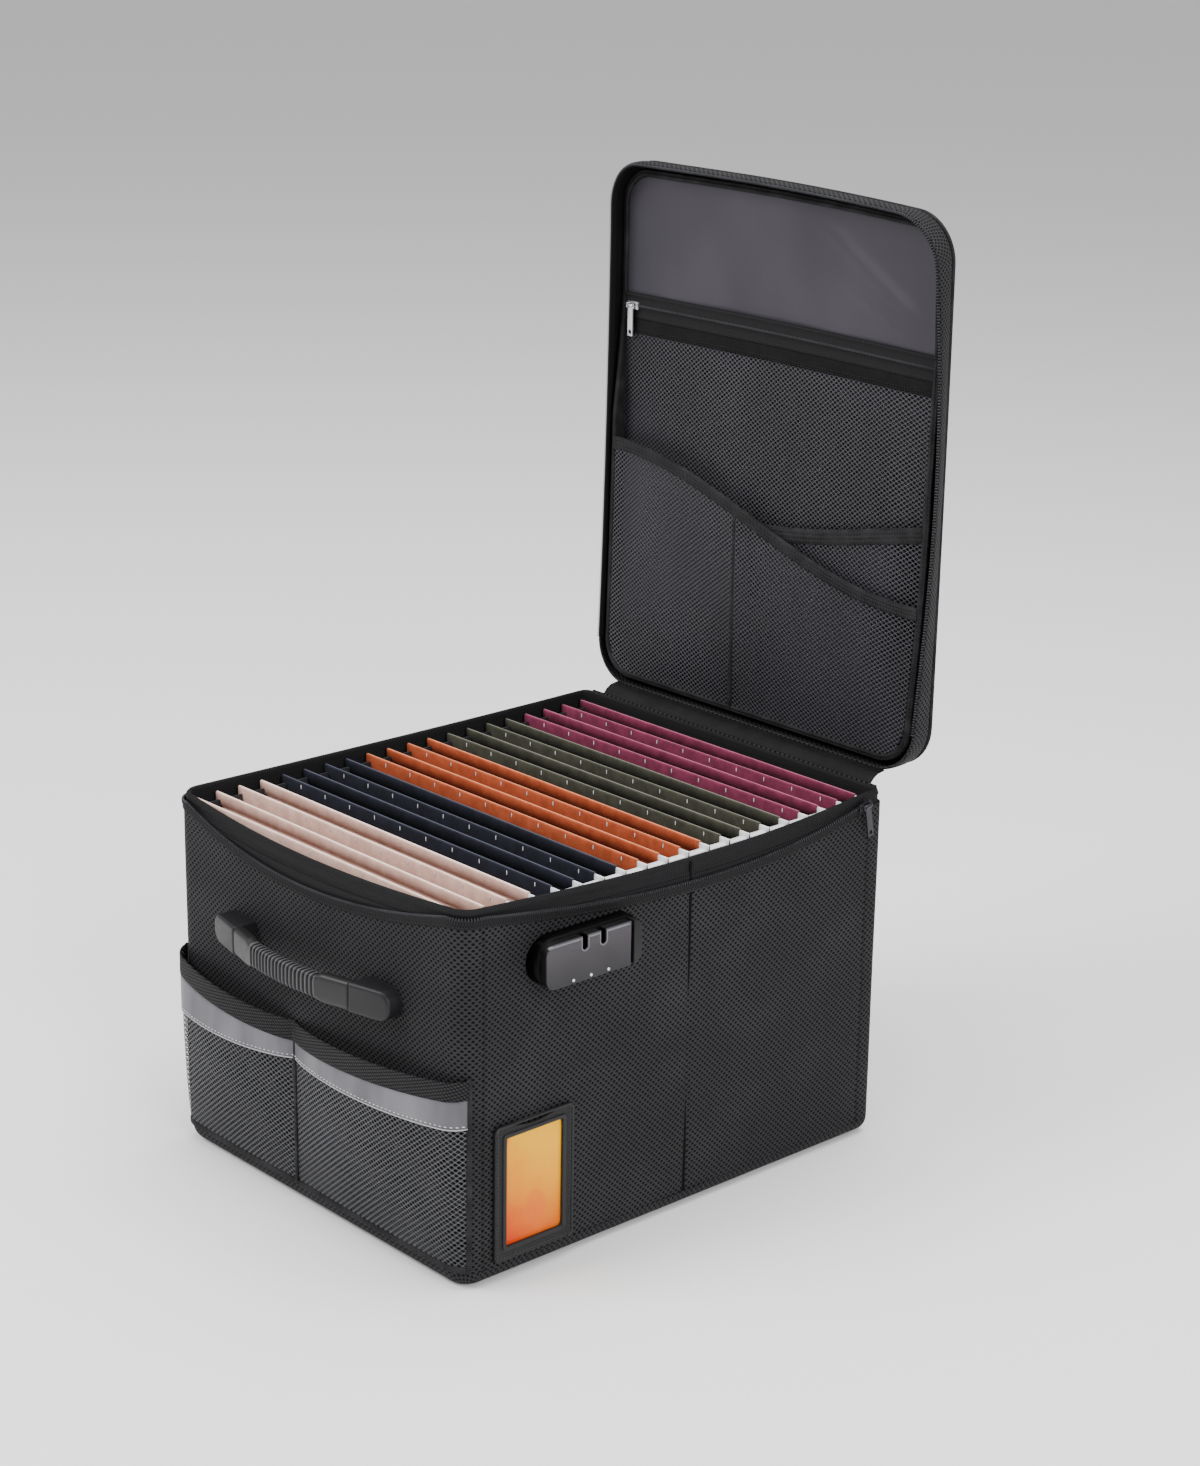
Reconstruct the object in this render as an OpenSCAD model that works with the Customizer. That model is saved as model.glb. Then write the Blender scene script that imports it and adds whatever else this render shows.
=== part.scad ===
// Portable file box: a soft-sided, board-stiffened box with a zipped lid,
// hanging folders on two rails, a combination lock and a carrying handle
// on each end. Origin: centre of the bottom face. +Z up, the front panel
// with the mesh pockets faces -Y, the lock is on the right panel, +X.
// The lid stands open at rest, as it does in use.

/* [Box] */
// Width over the side panels
box_w = 330; // [310:1:360]
// Depth over the front and back panels
box_d = 402; // [390:1:440]
// Height from the floor to the top of the inner rim
box_h = 275; // [270:1:320]
// Radius of the upright corners
corner_r = 18; // [14:1:24]
// Radius of the bottom edges
bottom_r = 12; // [10:1:16]
// Thickness of the woven cover
cover_t = 1.5; // [1:0.1:2]
// Thickness of the stiffener boards
board_t = 3; // [2:0.1:4]
// Thickness of the lining
lining_t = 1; // [0.6:0.1:1.5]

/* [Rim and zip] */
// Height of the free zip edge below the top of the inner rim, at the corners
zip_drop = 4; // [3:0.5:8]
// Sag of the zip edge along the front
front_sag = 24; // [0:1:30]
// Sag of the zip edge along each side
side_sag = 20; // [0:1:26]
// Height of the webbing band around the inner rim
band_h = 23; // [20:1:28]
// Thickness of the rim band
band_t = 2.3; // [1.5:0.1:2.6]
// Sag of the rim band along the front and sides
band_sag = 9; // [0:1:12]
// Width of the zip tape
tape_h = 14; // [10:1:18]
// Thickness of the zip tape
tape_t = 0.8; // [0.5:0.1:1.2]
// Diameter of the zip's coil of teeth
coil_d = 3.4; // [2.5:0.1:4.5]

/* [Lid] */
// Width of the lid over its zip edge
lid_w = 344; // [334:1:376]
// Length of the lid from the hinge edge to the front edge
lid_d = 418; // [402:1:456]
// Depth of the lid tray
lid_h = 27; // [24:1:36]
// Radius of the lid's corners
lid_corner_r = 35; // [24:1:50]
// Radius of the lid's top edge
lid_edge_r = 8; // [4:1:9]
// Gap between the box rim and the closed lid
rim_gap = 1.5; // [1:0.1:4]
// Overhang of the closed lid behind the back panel
lid_back_over = 5; // [4:0.5:6]
// Hinge line behind the back panel
hinge_back = 11; // [10:0.5:14]
// Hinge line below the top of the inner rim
hinge_drop = 1; // [0:0.5:3]
// Angle between the closed and the open lid
lid_open_deg = 90; // [90:1:95]
// Distance from the lid's edge to the welt around its lining panel
welt_in = 15; // [12:1:22]
// Thickness of the welt
welt_t = 3; // [2:0.5:4]
// Gap between the layers of the lid pockets
pocket_gap = 5; // [4.6:0.1:5.2]
// Thickness of the mesh
mesh_t = 0.8; // [0.5:0.1:1.2]
// Distance of the lid pocket's zip from the hinge edge
pocket_zip_v = 306; // [280:1:340]
// Width of the lid pocket's zip tape
pocket_zip_w = 18; // [14:1:24]
// Height of the front mesh pocket at its left end, above the hinge edge
diag_left_v = 201; // [180:1:230]
// Height of the front mesh pocket at its right end
diag_right_v = 129; // [110:1:150]
// Height of the right mesh pocket at the seam
level_left_v = 157; // [150:1:170]
// Height of the right mesh pocket at its right end
level_right_v = 188; // [175:1:210]
// Place of the seam between the lid pockets
lid_seam_x = -18; // [-40:1:40]
// Width of the elastic pocket bindings
binding_w = 10; // [6:1:14]
// Spacing of the openings in the lid's mesh
net_pitch = 21; // [18:1:40]
// Width of the mesh bars
net_bar = 7; // [3:1:9]

/* [Folders] */
// Number of hanging folders
folder_count = 10; // [4:1:10]
// Height of a hanging folder
folder_h = 235; // [200:1:238]
// Thickness of the folder sheet
sheet_t = 0.8; // [0.5:0.1:1]
// Height of the folders' top edge below the top of the rim
folder_drop = 6; // [4:1:10]
// Space between the first folder and the lining of the front panel
folder_front_gap = 5.4; // [5:0.1:8]
// Space between the last folder and the lining of the back panel
folder_back_gap = 6.2; // [3:0.1:8]
// Height of the folder rods
rod_h = 8; // [6:0.5:10]
// Thickness of the folder rods
rod_t = 1.2; // [0.8:0.1:1.4]
// Depth of the hook notch in each rod
hook_depth = 4; // [3:0.5:5]
// Clearance between a folder and what it hangs on
folder_clear = 0.3; // [0.2:0.1:0.5]
// Distance of the rail flange from the side lining
rail_reach = 8.5; // [7:0.5:10]
// Thickness of the rail metal
rail_t = 1.5; // [1:0.1:2]
// Height of the rail's wall plate
rail_plate_h = 15; // [12:1:18]

/* [Front pockets] */
// Place of the seam between the front pockets
pocket_seam_x = -20; // [-40:1:40]
// How far the front pockets stand out
pocket_bulge = 14; // [11:0.5:18]
// Height of the mesh pockets' top edge
pocket_top = 147; // [130:1:152]
// Height of the webbing along the pocket tops
pocket_webbing_h = 15; // [10:1:20]
// Height of the reflective strip
reflective_h = 26; // [15:1:35]
// Thickness of the pocket mesh
pocket_mesh_t = 1.2; // [0.8:0.1:1.6]
// Thickness that the webbing and strip add
trim_t = 0.8; // [0.5:0.1:1.2]

/* [Handles] */
// Distance of the handles' middle below the top of the rim
handle_drop = 85; // [70:1:91]
// Length over both end caps
handle_len = 212; // [190:1:230]
// Length between the end caps
grip_len = 138; // [120:1:150]
// Height of an end cap
cap_h = 25; // [22:1:30]
// Depth of an end cap
cap_depth = 22; // [20:0.5:26]
// Height of the grip
grip_h = 19; // [15:1:21]
// How much further the middle of the grip stands out
grip_bow = 12; // [8:0.5:16]
// Thickness of the grip
grip_t = 12; // [10:0.5:13]
// Number of grooves across the grip
rib_count = 18; // [8:1:22]
// Spacing of the grooves
rib_pitch = 4.1; // [3:0.1:4.5]
// How far the grip pulls out of its caps
grip_pull = 6; // [3:0.5:6]
// Radius of the fixing screws
screw_r = 1.5; // [1.2:0.1:2]
// Clearance around a fixing screw
screw_clear = 0.2; // [0.1:0.1:0.4]

/* [Lock] */
// Middle of the lock along the side panel
lock_y = -100; // [-110:1:-95]
// Distance of the lock's middle below the top of the rim
lock_drop = 48; // [46:1:53]
// Length of the lock cover
lock_len = 86; // [80:1:92]
// Height of the lock cover
lock_h = 32; // [30:1:36]
// Depth of the lock from the panel to its face
lock_depth = 17; // [16:0.5:20]
// Margin of the base plate around the cover
lock_margin = 4; // [2:0.5:6]
// Thickness of the base plate
lock_base_t = 3; // [2:0.5:3.5]
// Wall of the lock cover
lock_wall = 1.6; // [1.2:0.1:2]
// Radius of the number dials
dial_r = 5.7; // [5:0.1:5.8]
// Width of a number dial
dial_w = 9; // [7:0.5:11]
// Spacing of the number dials
dial_pitch = 15.75; // [13:0.25:16]
// Radius of the dial axle
axle_r = 1.2; // [1:0.1:1.5]
// Running clearance of the dials on their axle
axle_clear = 0.05; // [0.02:0.01:0.09]
// Spacing of the two slots for the zip pulls
slot_pitch = 16.5; // [14:0.5:20]
// Width of a slot for a zip pull
slot_w = 5; // [4.6:0.1:6]
// Depth of a slot for a zip pull
slot_depth = 10; // [8:0.5:11]
// Travel of the release button
button_travel = 2.5; // [1.5:0.1:2.8]

/* [Label window] */
// Middle of the label holder along the side panel
label_y = -140; // [-150:1:-130]
// Height of the label holder's lower edge
label_z = 15; // [14:1:24]
// Width of the label holder
label_w = 70; // [66:1:80]
// Height of the label holder
label_h = 101; // [98:1:110]
// Width of the label card
card_w = 54; // [50:0.5:56]
// Height of the label card
card_h = 85.6; // [80:0.2:88]
// Thickness of the label card
card_t = 0.8; // [0.4:0.1:1]
// Thickness of the leather
leather_t = 1.4; // [1.2:0.1:2]

/* [Zip sliders] */
// Length of a zip slider
slider_len = 12; // [9:0.5:16]
// Width of a zip slider
slider_w = 6.6; // [6:0.2:6.8]
// Length of a zip pull
pull_len = 24; // [16:1:30]
// Width of a zip pull
pull_w = 6; // [4:0.5:8]
// Thickness of a zip pull
pull_t = 1.4; // [1:0.1:2]
// Travel of the main sliders along the first stretch of the side
slider_travel = 50; // [20:1:60]

/* [Hidden] */
$fn = 64;

folder_ids = [for (i = [1 : folder_count]) str("folder_", i < 10 ? "0" : "", i)];

// Walls, from the outside in
wall_t = cover_t + board_t + lining_t;
half_w = box_w / 2;
half_d = box_d / 2;
flat_w = half_w - corner_r;
flat_d = half_d - corner_r;
eps = 0.01;
face_gap = 0.2;
seam_half = 2;

// Zip edge and rim band
zip_z = box_h - zip_drop - coil_d;
coil_z = zip_z + coil_d / 2;
cover_below_zip = 6;
cover_top = zip_z - cover_below_zip;
band_bottom = box_h - band_h;
coil_out = tape_t / 2;

// Lid, closed: its zip edge lies just above the rim
lid_z = box_h + rim_gap;
lid_top = lid_z + lid_h;
lid_back_y = half_d + lid_back_over;
lid_mid_y = lid_back_y - lid_d / 2;
hinge_y = half_d + hinge_back;
hinge_z = box_h - hinge_drop;
side_band_top = lid_top - lid_edge_r;
side_band_bottom = lid_z + coil_d + tape_t;
lid_board_in = lid_edge_r + face_gap;
lid_lining_in = cover_t + 2 * tape_t;
lining_z = lid_top - cover_t - board_t - lining_t;
panel_in = welt_in + welt_t;
zip_mesh_z = lining_z - pocket_gap - mesh_t;
right_mesh_z = zip_mesh_z - pocket_gap - mesh_t;
front_mesh_z = right_mesh_z - pocket_gap - mesh_t;
panel_half_w = lid_w / 2 - panel_in;
net_edge = 8;
net_rise = 14;
net_start = panel_in + net_rise;

// Folders and rails
rail_flange_x = half_w - wall_t - rail_reach;
rod_top = box_h - folder_drop - sheet_t - folder_clear;
rod_bottom = rod_top - rod_h;
rail_top = rod_bottom + hook_depth - folder_clear;
rail_below_band = 1;
rail_bottom = band_bottom - rail_plate_h - rail_below_band;
rail_end_gap = 6;
rail_half = half_d - wall_t - rail_end_gap;
rail_corner_ease = 2;
hook_play = 1.5;
sleeve_t = rod_t + 2 * folder_clear + 2 * sheet_t;
sleeve_h = rod_h + 2 * folder_clear + 2 * sheet_t;
rod_half = rail_flange_x + rail_t + hook_depth;
folder_side_gap = 2;
folder_half = rail_flange_x - folder_side_gap;
folder_top = box_h - folder_drop;
folder_bottom = folder_top - folder_h;
first_panel_y = -half_d + wall_t + folder_front_gap + sleeve_t / 2;
last_panel_y = half_d - wall_t - folder_back_gap - sleeve_t / 2;
panel_pitch = (last_panel_y - first_panel_y) / (2 * folder_count - 1);
folder_colours = ["#d9b3a5", "#23242f", "#b5502b", "#4a4a40", "#7d2f4d"];

// Front pockets: the arc that the inside of the mesh follows
pocket_arc = pocket_bulge - pocket_mesh_t;

// Handles
handle_z = box_h - handle_drop;
cap_inner = grip_len / 2;
cap_outer = handle_len / 2;
cap_wall = 1.6;
tang_t = 3;
tang_len = 15;
tang_play = 1.8;
tang_clear = 0.4;
tang_side_gap = 1.5;
cap_cavity_floor = cap_depth - cap_wall - tang_t - grip_pull - tang_play;
tang_n = cap_cavity_floor + tang_clear;
grip_taper = 1;
cap_flat = 2;
cap_slot_in = 4;
cap_slot_len = 9;
cap_slot_w = 3;
grip_gap = 0.6;
grip_half = cap_inner - grip_gap;
plate_t = 1.2;
plate_w = 16;
plate_h = 22;
plate_r = 3;
cap_screw_in = 11;
cap_screw_x = cap_outer - cap_screw_in;
cap_screw_z = 6;
cap_screw_depth = 10;
lock_screw_depth = 5;
screw_head_t = 1.2;
pilot_clear = 0.05;
pilot_over = 2;

// Lock
lock_z = box_h - lock_drop;
dial_gap = 0.4;
dial_side_gap = 0.5;
dial_window_h = 4;
post_t = 2;
post_wall = 0.5;
post_half = axle_r + post_wall;
post_over = 2.6;
dial_n = lock_depth - lock_wall - dial_r - dial_gap;
dial_t = -lock_h / 2 + lock_wall + face_gap + post_half;
dial_mid = -3.5;
axle_half = 1.5 * dial_pitch + 3;
post_s = axle_half - post_t / 2;
button_room = 10.5;
button_gap = 0.5;
cover_end = lock_len / 2 - button_room;
button_start = cover_end + button_travel + button_gap;
lock_screw_s = [-lock_len / 2 + 7, cover_end - 4.5];
lock_screw_t = -2;
lock_base_r = 9;
lock_cover_r = 8;
boss_r = 3.2;
boss_h = 7;
lock_plate_below = 12;
lock_plate_above = 6;
slot_shift = -0.7;
slot_floor = lock_depth / 4 + lock_wall;
latch_n = lock_base_t + face_gap;
latch_t = 3;
latch_w = 4;
latch_bar_t = 3;
latch_over = 14;
latch_end = slot_pitch / 2 + latch_over;
stem_w = 6;

// Label holder
window_t = 0.4;
label_mid_z = label_z + label_h / 2;
label_seam = 8;
label_r = 4;
card_rest = 0.4;
card_side_gap = 1.5;
card_bottom = label_z + label_seam + card_rest;
window_lap = 2;
window_w = card_w - 2 * window_lap;
window_h = card_h - 2.5 * window_lap;
finger_cut_r = 64;
finger_cut_depth = 4;
window_r = 3;
card_space = 1.4;

// Zip sliders
slider_end_gap = 1;
slider_y = flat_d - slider_len / 2 - slider_end_gap;
slider_h = 6;
slider_low = 0.4;
coil_play = 1.2;
tape_slot = tape_t + 1;
slide_drop = arc_drop(slider_y - slider_travel, flat_d, side_sag) - arc_drop(slider_y, flat_d, side_sag);
slide_deg = atan2(slide_drop, slider_travel);
pull_eye_r = 1.6;
eye_gap = 0.3;
crown_out = pull_eye_r + eye_gap;
crown_t = 1.2;
crown_h = 4;
crown_gap = 0.2;
crown_edge = 0.3;
pull_pin_r = 0.7;
pin_clear = 0.08;
pocket_slider_x = -panel_half_w + slider_len / 2 + slider_end_gap;
pocket_slider_w = 6;
pocket_slider_t = 2;
pocket_pin_n = face_gap + pocket_slider_t + crown_out;

// ---- Shared outlines -------------------------------------------------

// Rectangle with rounded corners, centred
module round_rect(w, d, r) {
    square([w - 2 * r, d], center = true);
    square([w, d - 2 * r], center = true);
    for (sx = [-1, 1], sy = [-1, 1])
        translate([sx * (w / 2 - r), sy * (d / 2 - r)]) circle(r = r);
}

// Outline of the box, set in from its outer face
module box_outline(inset) {
    round_rect(box_w - 2 * inset, box_d - 2 * inset, corner_r - inset);
}

// Upright wall of the box between two insets
module box_ring(outer, inner, z0, z1) {
    translate([0, 0, z0]) linear_extrude(z1 - z0) difference() {
        box_outline(outer);
        box_outline(inner);
    }
}

// Outline of the closed lid, set in from its zip edge
module lid_outline(inset) {
    translate([0, lid_mid_y])
        round_rect(lid_w - 2 * inset, lid_d - 2 * inset, lid_corner_r - inset);
}

// Wall of the closed lid between two insets
module lid_ring(outer, inner, z0, z1) {
    translate([0, 0, z0]) linear_extrude(z1 - z0) difference() {
        lid_outline(outer);
        lid_outline(inner);
    }
}

// Radius of an arc from its half chord and its sag
function arc_r(half, sag) = (half * half + sag * sag) / (2 * sag);

// Height of an arc that hangs between two ends, below those ends
function arc_drop(t, half, sag) =
    sag < 0.5 || abs(t) >= half ? 0
    : sqrt(pow(arc_r(half, sag), 2) - t * t) - arc_r(half, sag) + sag;

// Everything above an edge that sags along the front and both sides
module above_edge(z, sag_front, sag_side) {
    reach = 40;
    translate([-half_w - reach, -half_d - reach, z])
        cube([box_w + 2 * reach, box_d + 2 * reach, box_h]);
    if (sag_front >= 0.5)
        translate([0, -half_d, z - sag_front + arc_r(flat_w, sag_front)])
            rotate([90, 0, 0])
                cylinder(r = arc_r(flat_w, sag_front), h = 2 * corner_r, center = true, $fn = 180);
    if (sag_side >= 0.5)
        for (sx = [-1, 1])
            translate([sx * half_w, 0, z - sag_side + arc_r(flat_d, sag_side)])
                rotate([0, 90, 0])
                    cylinder(r = arc_r(flat_d, sag_side), h = 2 * corner_r, center = true, $fn = 180);
}

// Places its children as they stand on the open lid
module on_open_lid() {
    translate([0, hinge_y, hinge_z])
        rotate([-lid_open_deg, 0, 0])
            translate([0, -hinge_y, -hinge_z])
                children();
}

// Places a drawing on the front or back panel: x along the panel, y up, z outwards
module on_end(side) {
    if (side < 0)
        translate([0, -half_d, handle_z]) rotate([90, 0, 0]) children();
    else
        translate([0, half_d, handle_z]) rotate([90, 0, 180]) children();
}

// Places a drawing on the right panel at the lock: x to the rear, y up, z outwards
module on_lock() {
    translate([half_w, lock_y, lock_z]) rotate([90, 0, 90]) children();
}

// Places a drawing on the right panel at the label holder
module on_label() {
    translate([half_w, label_y, 0]) rotate([90, 0, 90]) children();
}

// Round holes or bars along every fixing screw of the handles
module at_handle_screws(side) {
    on_end(side)
        for (sx = [-1, 1], sz = [-1, 1])
            translate([sx * cap_screw_x, sz * cap_screw_z, 0]) children();
}

// Round holes or bars along every fixing screw of the lock
module at_lock_screws() {
    on_lock()
        for (s = lock_screw_s)
            translate([s, lock_screw_t, 0]) children();
}

// Clearance holes of all fixing screws, through the walls and inner plates
module screw_holes() {
    depth = wall_t + plate_t + 1;
    for (side = [-1, 1])
        at_handle_screws(side)
            translate([0, 0, -depth]) cylinder(r = screw_r + screw_clear, h = depth + 1, $fn = 32);
    at_lock_screws()
        translate([0, 0, -depth]) cylinder(r = screw_r + screw_clear, h = depth + 1, $fn = 32);
}

// Tube swept along a list of points; open ends are capped
function unit(v) = v / norm(v);
function sweep_ring(points, i, r, sides) =
    let (
        a = points[max(i - 1, 0)],
        b = points[min(i + 1, len(points) - 1)],
        t = unit(b - a),
        u = unit(cross(t, abs(t.z) > 0.9 ? [1, 0, 0] : [0, 0, 1])),
        v = cross(u, t)
    )
    [for (k = [0 : sides - 1]) points[i] + r * (cos(360 * k / sides) * u + sin(360 * k / sides) * v)];
module swept_tube(points, r, sides) {
    n = len(points);
    rings = [for (i = [0 : n - 1]) each sweep_ring(points, i, r, sides)];
    walls = [for (i = [0 : n - 2], k = [0 : sides - 1])
        [i * sides + k, i * sides + (k + 1) % sides, (i + 1) * sides + (k + 1) % sides, (i + 1) * sides + k]];
    first_cap = [for (k = [sides - 1 : -1 : 0]) k];
    last_cap = [for (k = [0 : sides - 1]) (n - 1) * sides + k];
    polyhedron(rings, concat(walls, [first_cap, last_cap]));
}

// Points of a zip's run on the box: up one side, across the front, back along the other
function side_run(sx, y0, y1, n) =
    [for (i = [0 : n]) let (y = y0 + (y1 - y0) * i / n)
        [sx * (half_w + coil_out), y, coil_z - arc_drop(y, flat_d, side_sag)]];
function corner_run(cx, cy, a0, a1, r, z, n) =
    [for (i = [1 : n - 1]) let (a = a0 + (a1 - a0) * i / n) [cx + r * cos(a), cy + r * sin(a), z]];
function body_zip_path() = concat(
    side_run(1, flat_d, -flat_d, 22),
    corner_run(flat_w, -flat_d, 0, -90, corner_r + coil_out, coil_z, 6),
    [for (i = [0 : 20]) let (x = flat_w - 2 * flat_w * i / 20)
        [x, -half_d - coil_out, coil_z - arc_drop(x, flat_w, front_sag)]],
    corner_run(-flat_w, -flat_d, -90, -180, corner_r + coil_out, coil_z, 6),
    side_run(-1, -flat_d, flat_d, 22));
function lid_zip_path() = let (
        hx = lid_w / 2 - lid_corner_r,
        y1 = lid_back_y - lid_corner_r,
        y0 = lid_back_y - lid_d + lid_corner_r,
        r = lid_corner_r - cover_t - tape_t / 2,
        z = lid_z + coil_d / 2
    )
    concat([[hx + r, y1, z], [hx + r, y0, z]],
        corner_run(hx, y0, 0, -90, r, z, 8),
        [[hx, y0 - r, z], [-hx, y0 - r, z]],
        corner_run(-hx, y0, -90, -180, r, z, 8),
        [[-hx - r, y0, z], [-hx - r, y1, z]]);

// ---- Box shell -------------------------------------------------------

// The front and back panels wrap the rounded corners
module end_panel(side) {
    difference() {
        intersection() {
            box_ring(0, cover_t, bottom_r, side < 0 ? cover_top : box_h);
            translate([-box_w, side < 0 ? -box_d : flat_d, 0]) cube([2 * box_w, box_d - flat_d, 2 * box_h]);
        }
        if (side < 0)
            above_edge(cover_top, front_sag, side_sag);
        else
            above_rear_corners();
        screw_holes();
    }
}

// The cover's corners behind the zip end at the zip edge
module above_rear_corners() {
    for (sx = [-1, 1])
        translate([sx * (flat_w + corner_r), flat_d, cover_top + box_h / 2])
            cube([2 * corner_r, 4 * corner_r, box_h], center = true);
}

module front_panel() color("#1c1c1f") end_panel(-1);
module back_panel() color("#1c1c1f") end_panel(1);

// A side panel is flat, between the seams of the end panels
module side_panel(side) {
    difference() {
        intersection() {
            box_ring(0, cover_t, bottom_r, cover_top);
            translate([side > 0 ? half_w - corner_r : -half_w, -flat_d, 0])
                cube([corner_r, 2 * flat_d, box_h]);
        }
        above_edge(cover_top, front_sag, side_sag);
        screw_holes();
    }
}
module left_panel() color("#1c1c1f") side_panel(-1);
module right_panel() color("#1c1c1f") side_panel(1);

// Shallow tray with rounded edges, drawn as layers
module rounded_tray(inset) {
    r = bottom_r - inset;
    hull()
        for (a = [0 : 15 : 90])
            translate([0, 0, bottom_r - r * sin(a)])
                linear_extrude(eps) box_outline(inset + r * (1 - cos(a)), $fn = 32);
}
module bottom_panel() color("#18181a")
    difference() {
        intersection() {
            rounded_tray(0);
            translate([-box_w, -box_d, 0]) cube([2 * box_w, 2 * box_d, bottom_r]);
        }
        rounded_tray(cover_t);
    }

// Board outline between the rounded corners, as tall as the wall below the band
module end_boards() color("#8a6f52")
    difference() {
        for (side = [-1, 1])
            translate([-flat_w, side < 0 ? -half_d + cover_t : half_d - cover_t - board_t, bottom_r])
                cube([2 * flat_w, board_t, band_bottom - bottom_r]);
        screw_holes();
    }

// Each side has two boards, with the fold seam between them
module side_boards() color("#8a6f52")
    difference() {
        board_x = half_w - cover_t - board_t / 2;
        for (sx = [-1, 1], sy = [-1, 1])
            translate([sx * board_x, sy * (flat_d + seam_half) / 2, (band_bottom + bottom_r) / 2])
                cube([board_t, flat_d - seam_half, band_bottom - bottom_r], center = true);
        screw_holes();
    }

module bottom_board() color("#8a6f52")
    translate([0, 0, cover_t]) linear_extrude(board_t) box_outline(bottom_r);

module lining() color("#3a3a40")
    difference() {
        floor_z = cover_t + board_t + face_gap;
        translate([0, 0, floor_z]) linear_extrude(band_bottom - floor_z) box_outline(cover_t + board_t);
        translate([0, 0, floor_z + lining_t]) linear_extrude(box_h) box_outline(wall_t);
        screw_holes();
    }

// Upright webbing band that caps the boards
module rim_band() color("#141416")
    difference() {
        box_ring(wall_t - band_t, wall_t, band_bottom, box_h);
        above_edge(box_h - eps, band_sag, band_sag);
    }

// Woven tape on the outside of the cover, and the coil along its free edge
module body_zip() {
    color("#202023")
        difference() {
            box_ring(-tape_t, 0, zip_z - tape_h - max(front_sag, side_sag), zip_z);
            above_edge(zip_z, front_sag, side_sag);
            below_tape();
            translate([-box_w, flat_d, 0]) cube([2 * box_w, box_d, box_h]);
            // the lock's base plate is let into the tape
            on_lock() translate([0, 0, -1]) linear_extrude(lock_base_t) lock_base_outline(face_gap);
        }
    color("#8c8c90") swept_tube(body_zip_path(), coil_d / 2 - 0.05, 6);
}

// Everything more than a tape's width below the zip edge
module below_tape() {
    difference() {
        translate([-box_w, -box_d, 0]) cube([2 * box_w, 2 * box_d, zip_z - tape_h]);
        above_edge(zip_z - tape_h, front_sag, side_sag);
    }
}

// Smooth cloth strip from the back panel to the lid's hinge edge
module hinge_gusset() color("#2a2a2e") {
    gusset_t = 1.2;
    lid_y = hinge_y + (side_band_bottom - hinge_z);
    lid_edge_z = hinge_z + hinge_back - lid_back_over;
    seat_gap = 0.05;
    bend = 4;
    y0 = half_d + seat_gap;
    translate([-flat_w, 0, 0]) rotate([90, 0, 90]) linear_extrude(2 * flat_w)
        polygon([
            [y0, band_bottom], [y0 + gusset_t, band_bottom], [y0 + gusset_t, box_h - bend],
            [lid_y - face_gap, lid_edge_z], [lid_y - face_gap, lid_edge_z + gusset_t],
            [y0 + 1, box_h], [y0, box_h]
        ]);
}

// ---- Rails and folders -----------------------------------------------

// J-shaped metal rail: the folders' rods hook over its flange. Its plate is
// trimmed to the rounded corners of the lining.
module rail(side) {
    plate_x = half_w - wall_t;
    profile = [
        [plate_x, rail_bottom], [plate_x, rail_bottom + rail_plate_h],
        [plate_x - rail_t, rail_bottom + rail_plate_h], [plate_x - rail_t, rail_bottom + rail_t],
        [rail_flange_x + rail_t, rail_bottom + rail_t], [rail_flange_x + rail_t, rail_top],
        [rail_flange_x, rail_top], [rail_flange_x, rail_bottom]
    ];
    mirror([side < 0 ? 1 : 0, 0, 0])
        intersection() {
            translate([0, rail_half, 0]) rotate([90, 0, 0])
                linear_extrude(2 * rail_half) polygon(profile);
            linear_extrude(box_h)
                round_rect(2 * plate_x, 2 * (half_d - wall_t), corner_r - wall_t + rail_corner_ease);
        }
}
module rail_left() color("#d8d8da") rail(-1);
module rail_right() color("#d8d8da") rail(1);

// Cross-section of a folder: two upright panels, a folded bottom and a rod sleeve on each
module folder_profile() {
    h = panel_pitch / 2;
    fold = 6;
    t = sheet_t;
    // bottom and panels
    polygon([
        [-h - t / 2, folder_top - sleeve_h], [-h - t / 2, folder_bottom + fold],
        [-h + fold, folder_bottom], [h - fold, folder_bottom],
        [h + t / 2, folder_bottom + fold], [h + t / 2, folder_top - sleeve_h],
        [h - t / 2, folder_top - sleeve_h], [h - t / 2, folder_bottom + fold + t / 2],
        [h - fold - t / 2, folder_bottom + t], [-h + fold + t / 2, folder_bottom + t],
        [-h + t / 2, folder_bottom + fold + t / 2], [-h + t / 2, folder_top - sleeve_h]
    ]);
    for (s = [-1, 1])
        translate([s * h - sleeve_t / 2, folder_top - sleeve_h]) difference() {
            square([sleeve_t, sleeve_h]);
            translate([sheet_t, sheet_t]) square([sleeve_t - 2 * sheet_t, sleeve_h - 2 * sheet_t]);
        }
}

// Flat rod with a hook notch near each end
module folder_rod() {
    notch_w = rail_t + hook_play;
    difference() {
        translate([-rod_half, -rod_t / 2, rod_bottom]) cube([2 * rod_half, rod_t, rod_h]);
        for (s = [-1, 1])
            translate([s * (rail_flange_x + rail_t / 2) - notch_w / 2, -rod_t, rod_bottom - 1])
                cube([notch_w, 2 * rod_t, hook_depth + 1]);
    }
}

// Folder number i, counted from the front, with its two rods
module folder(i) {
    y = first_panel_y + panel_pitch * (2 * i + 0.5);
    color(folder_colours[floor(i * len(folder_colours) / folder_count)])
        translate([-folder_half, y, 0]) rotate([90, 0, 90])
            linear_extrude(2 * folder_half) folder_profile();
    color("#b8b8bc")
        for (s = [-1, 1])
            translate([0, y + s * panel_pitch / 2, 0]) folder_rod();
}

// ---- Front pockets ---------------------------------------------------

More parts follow.
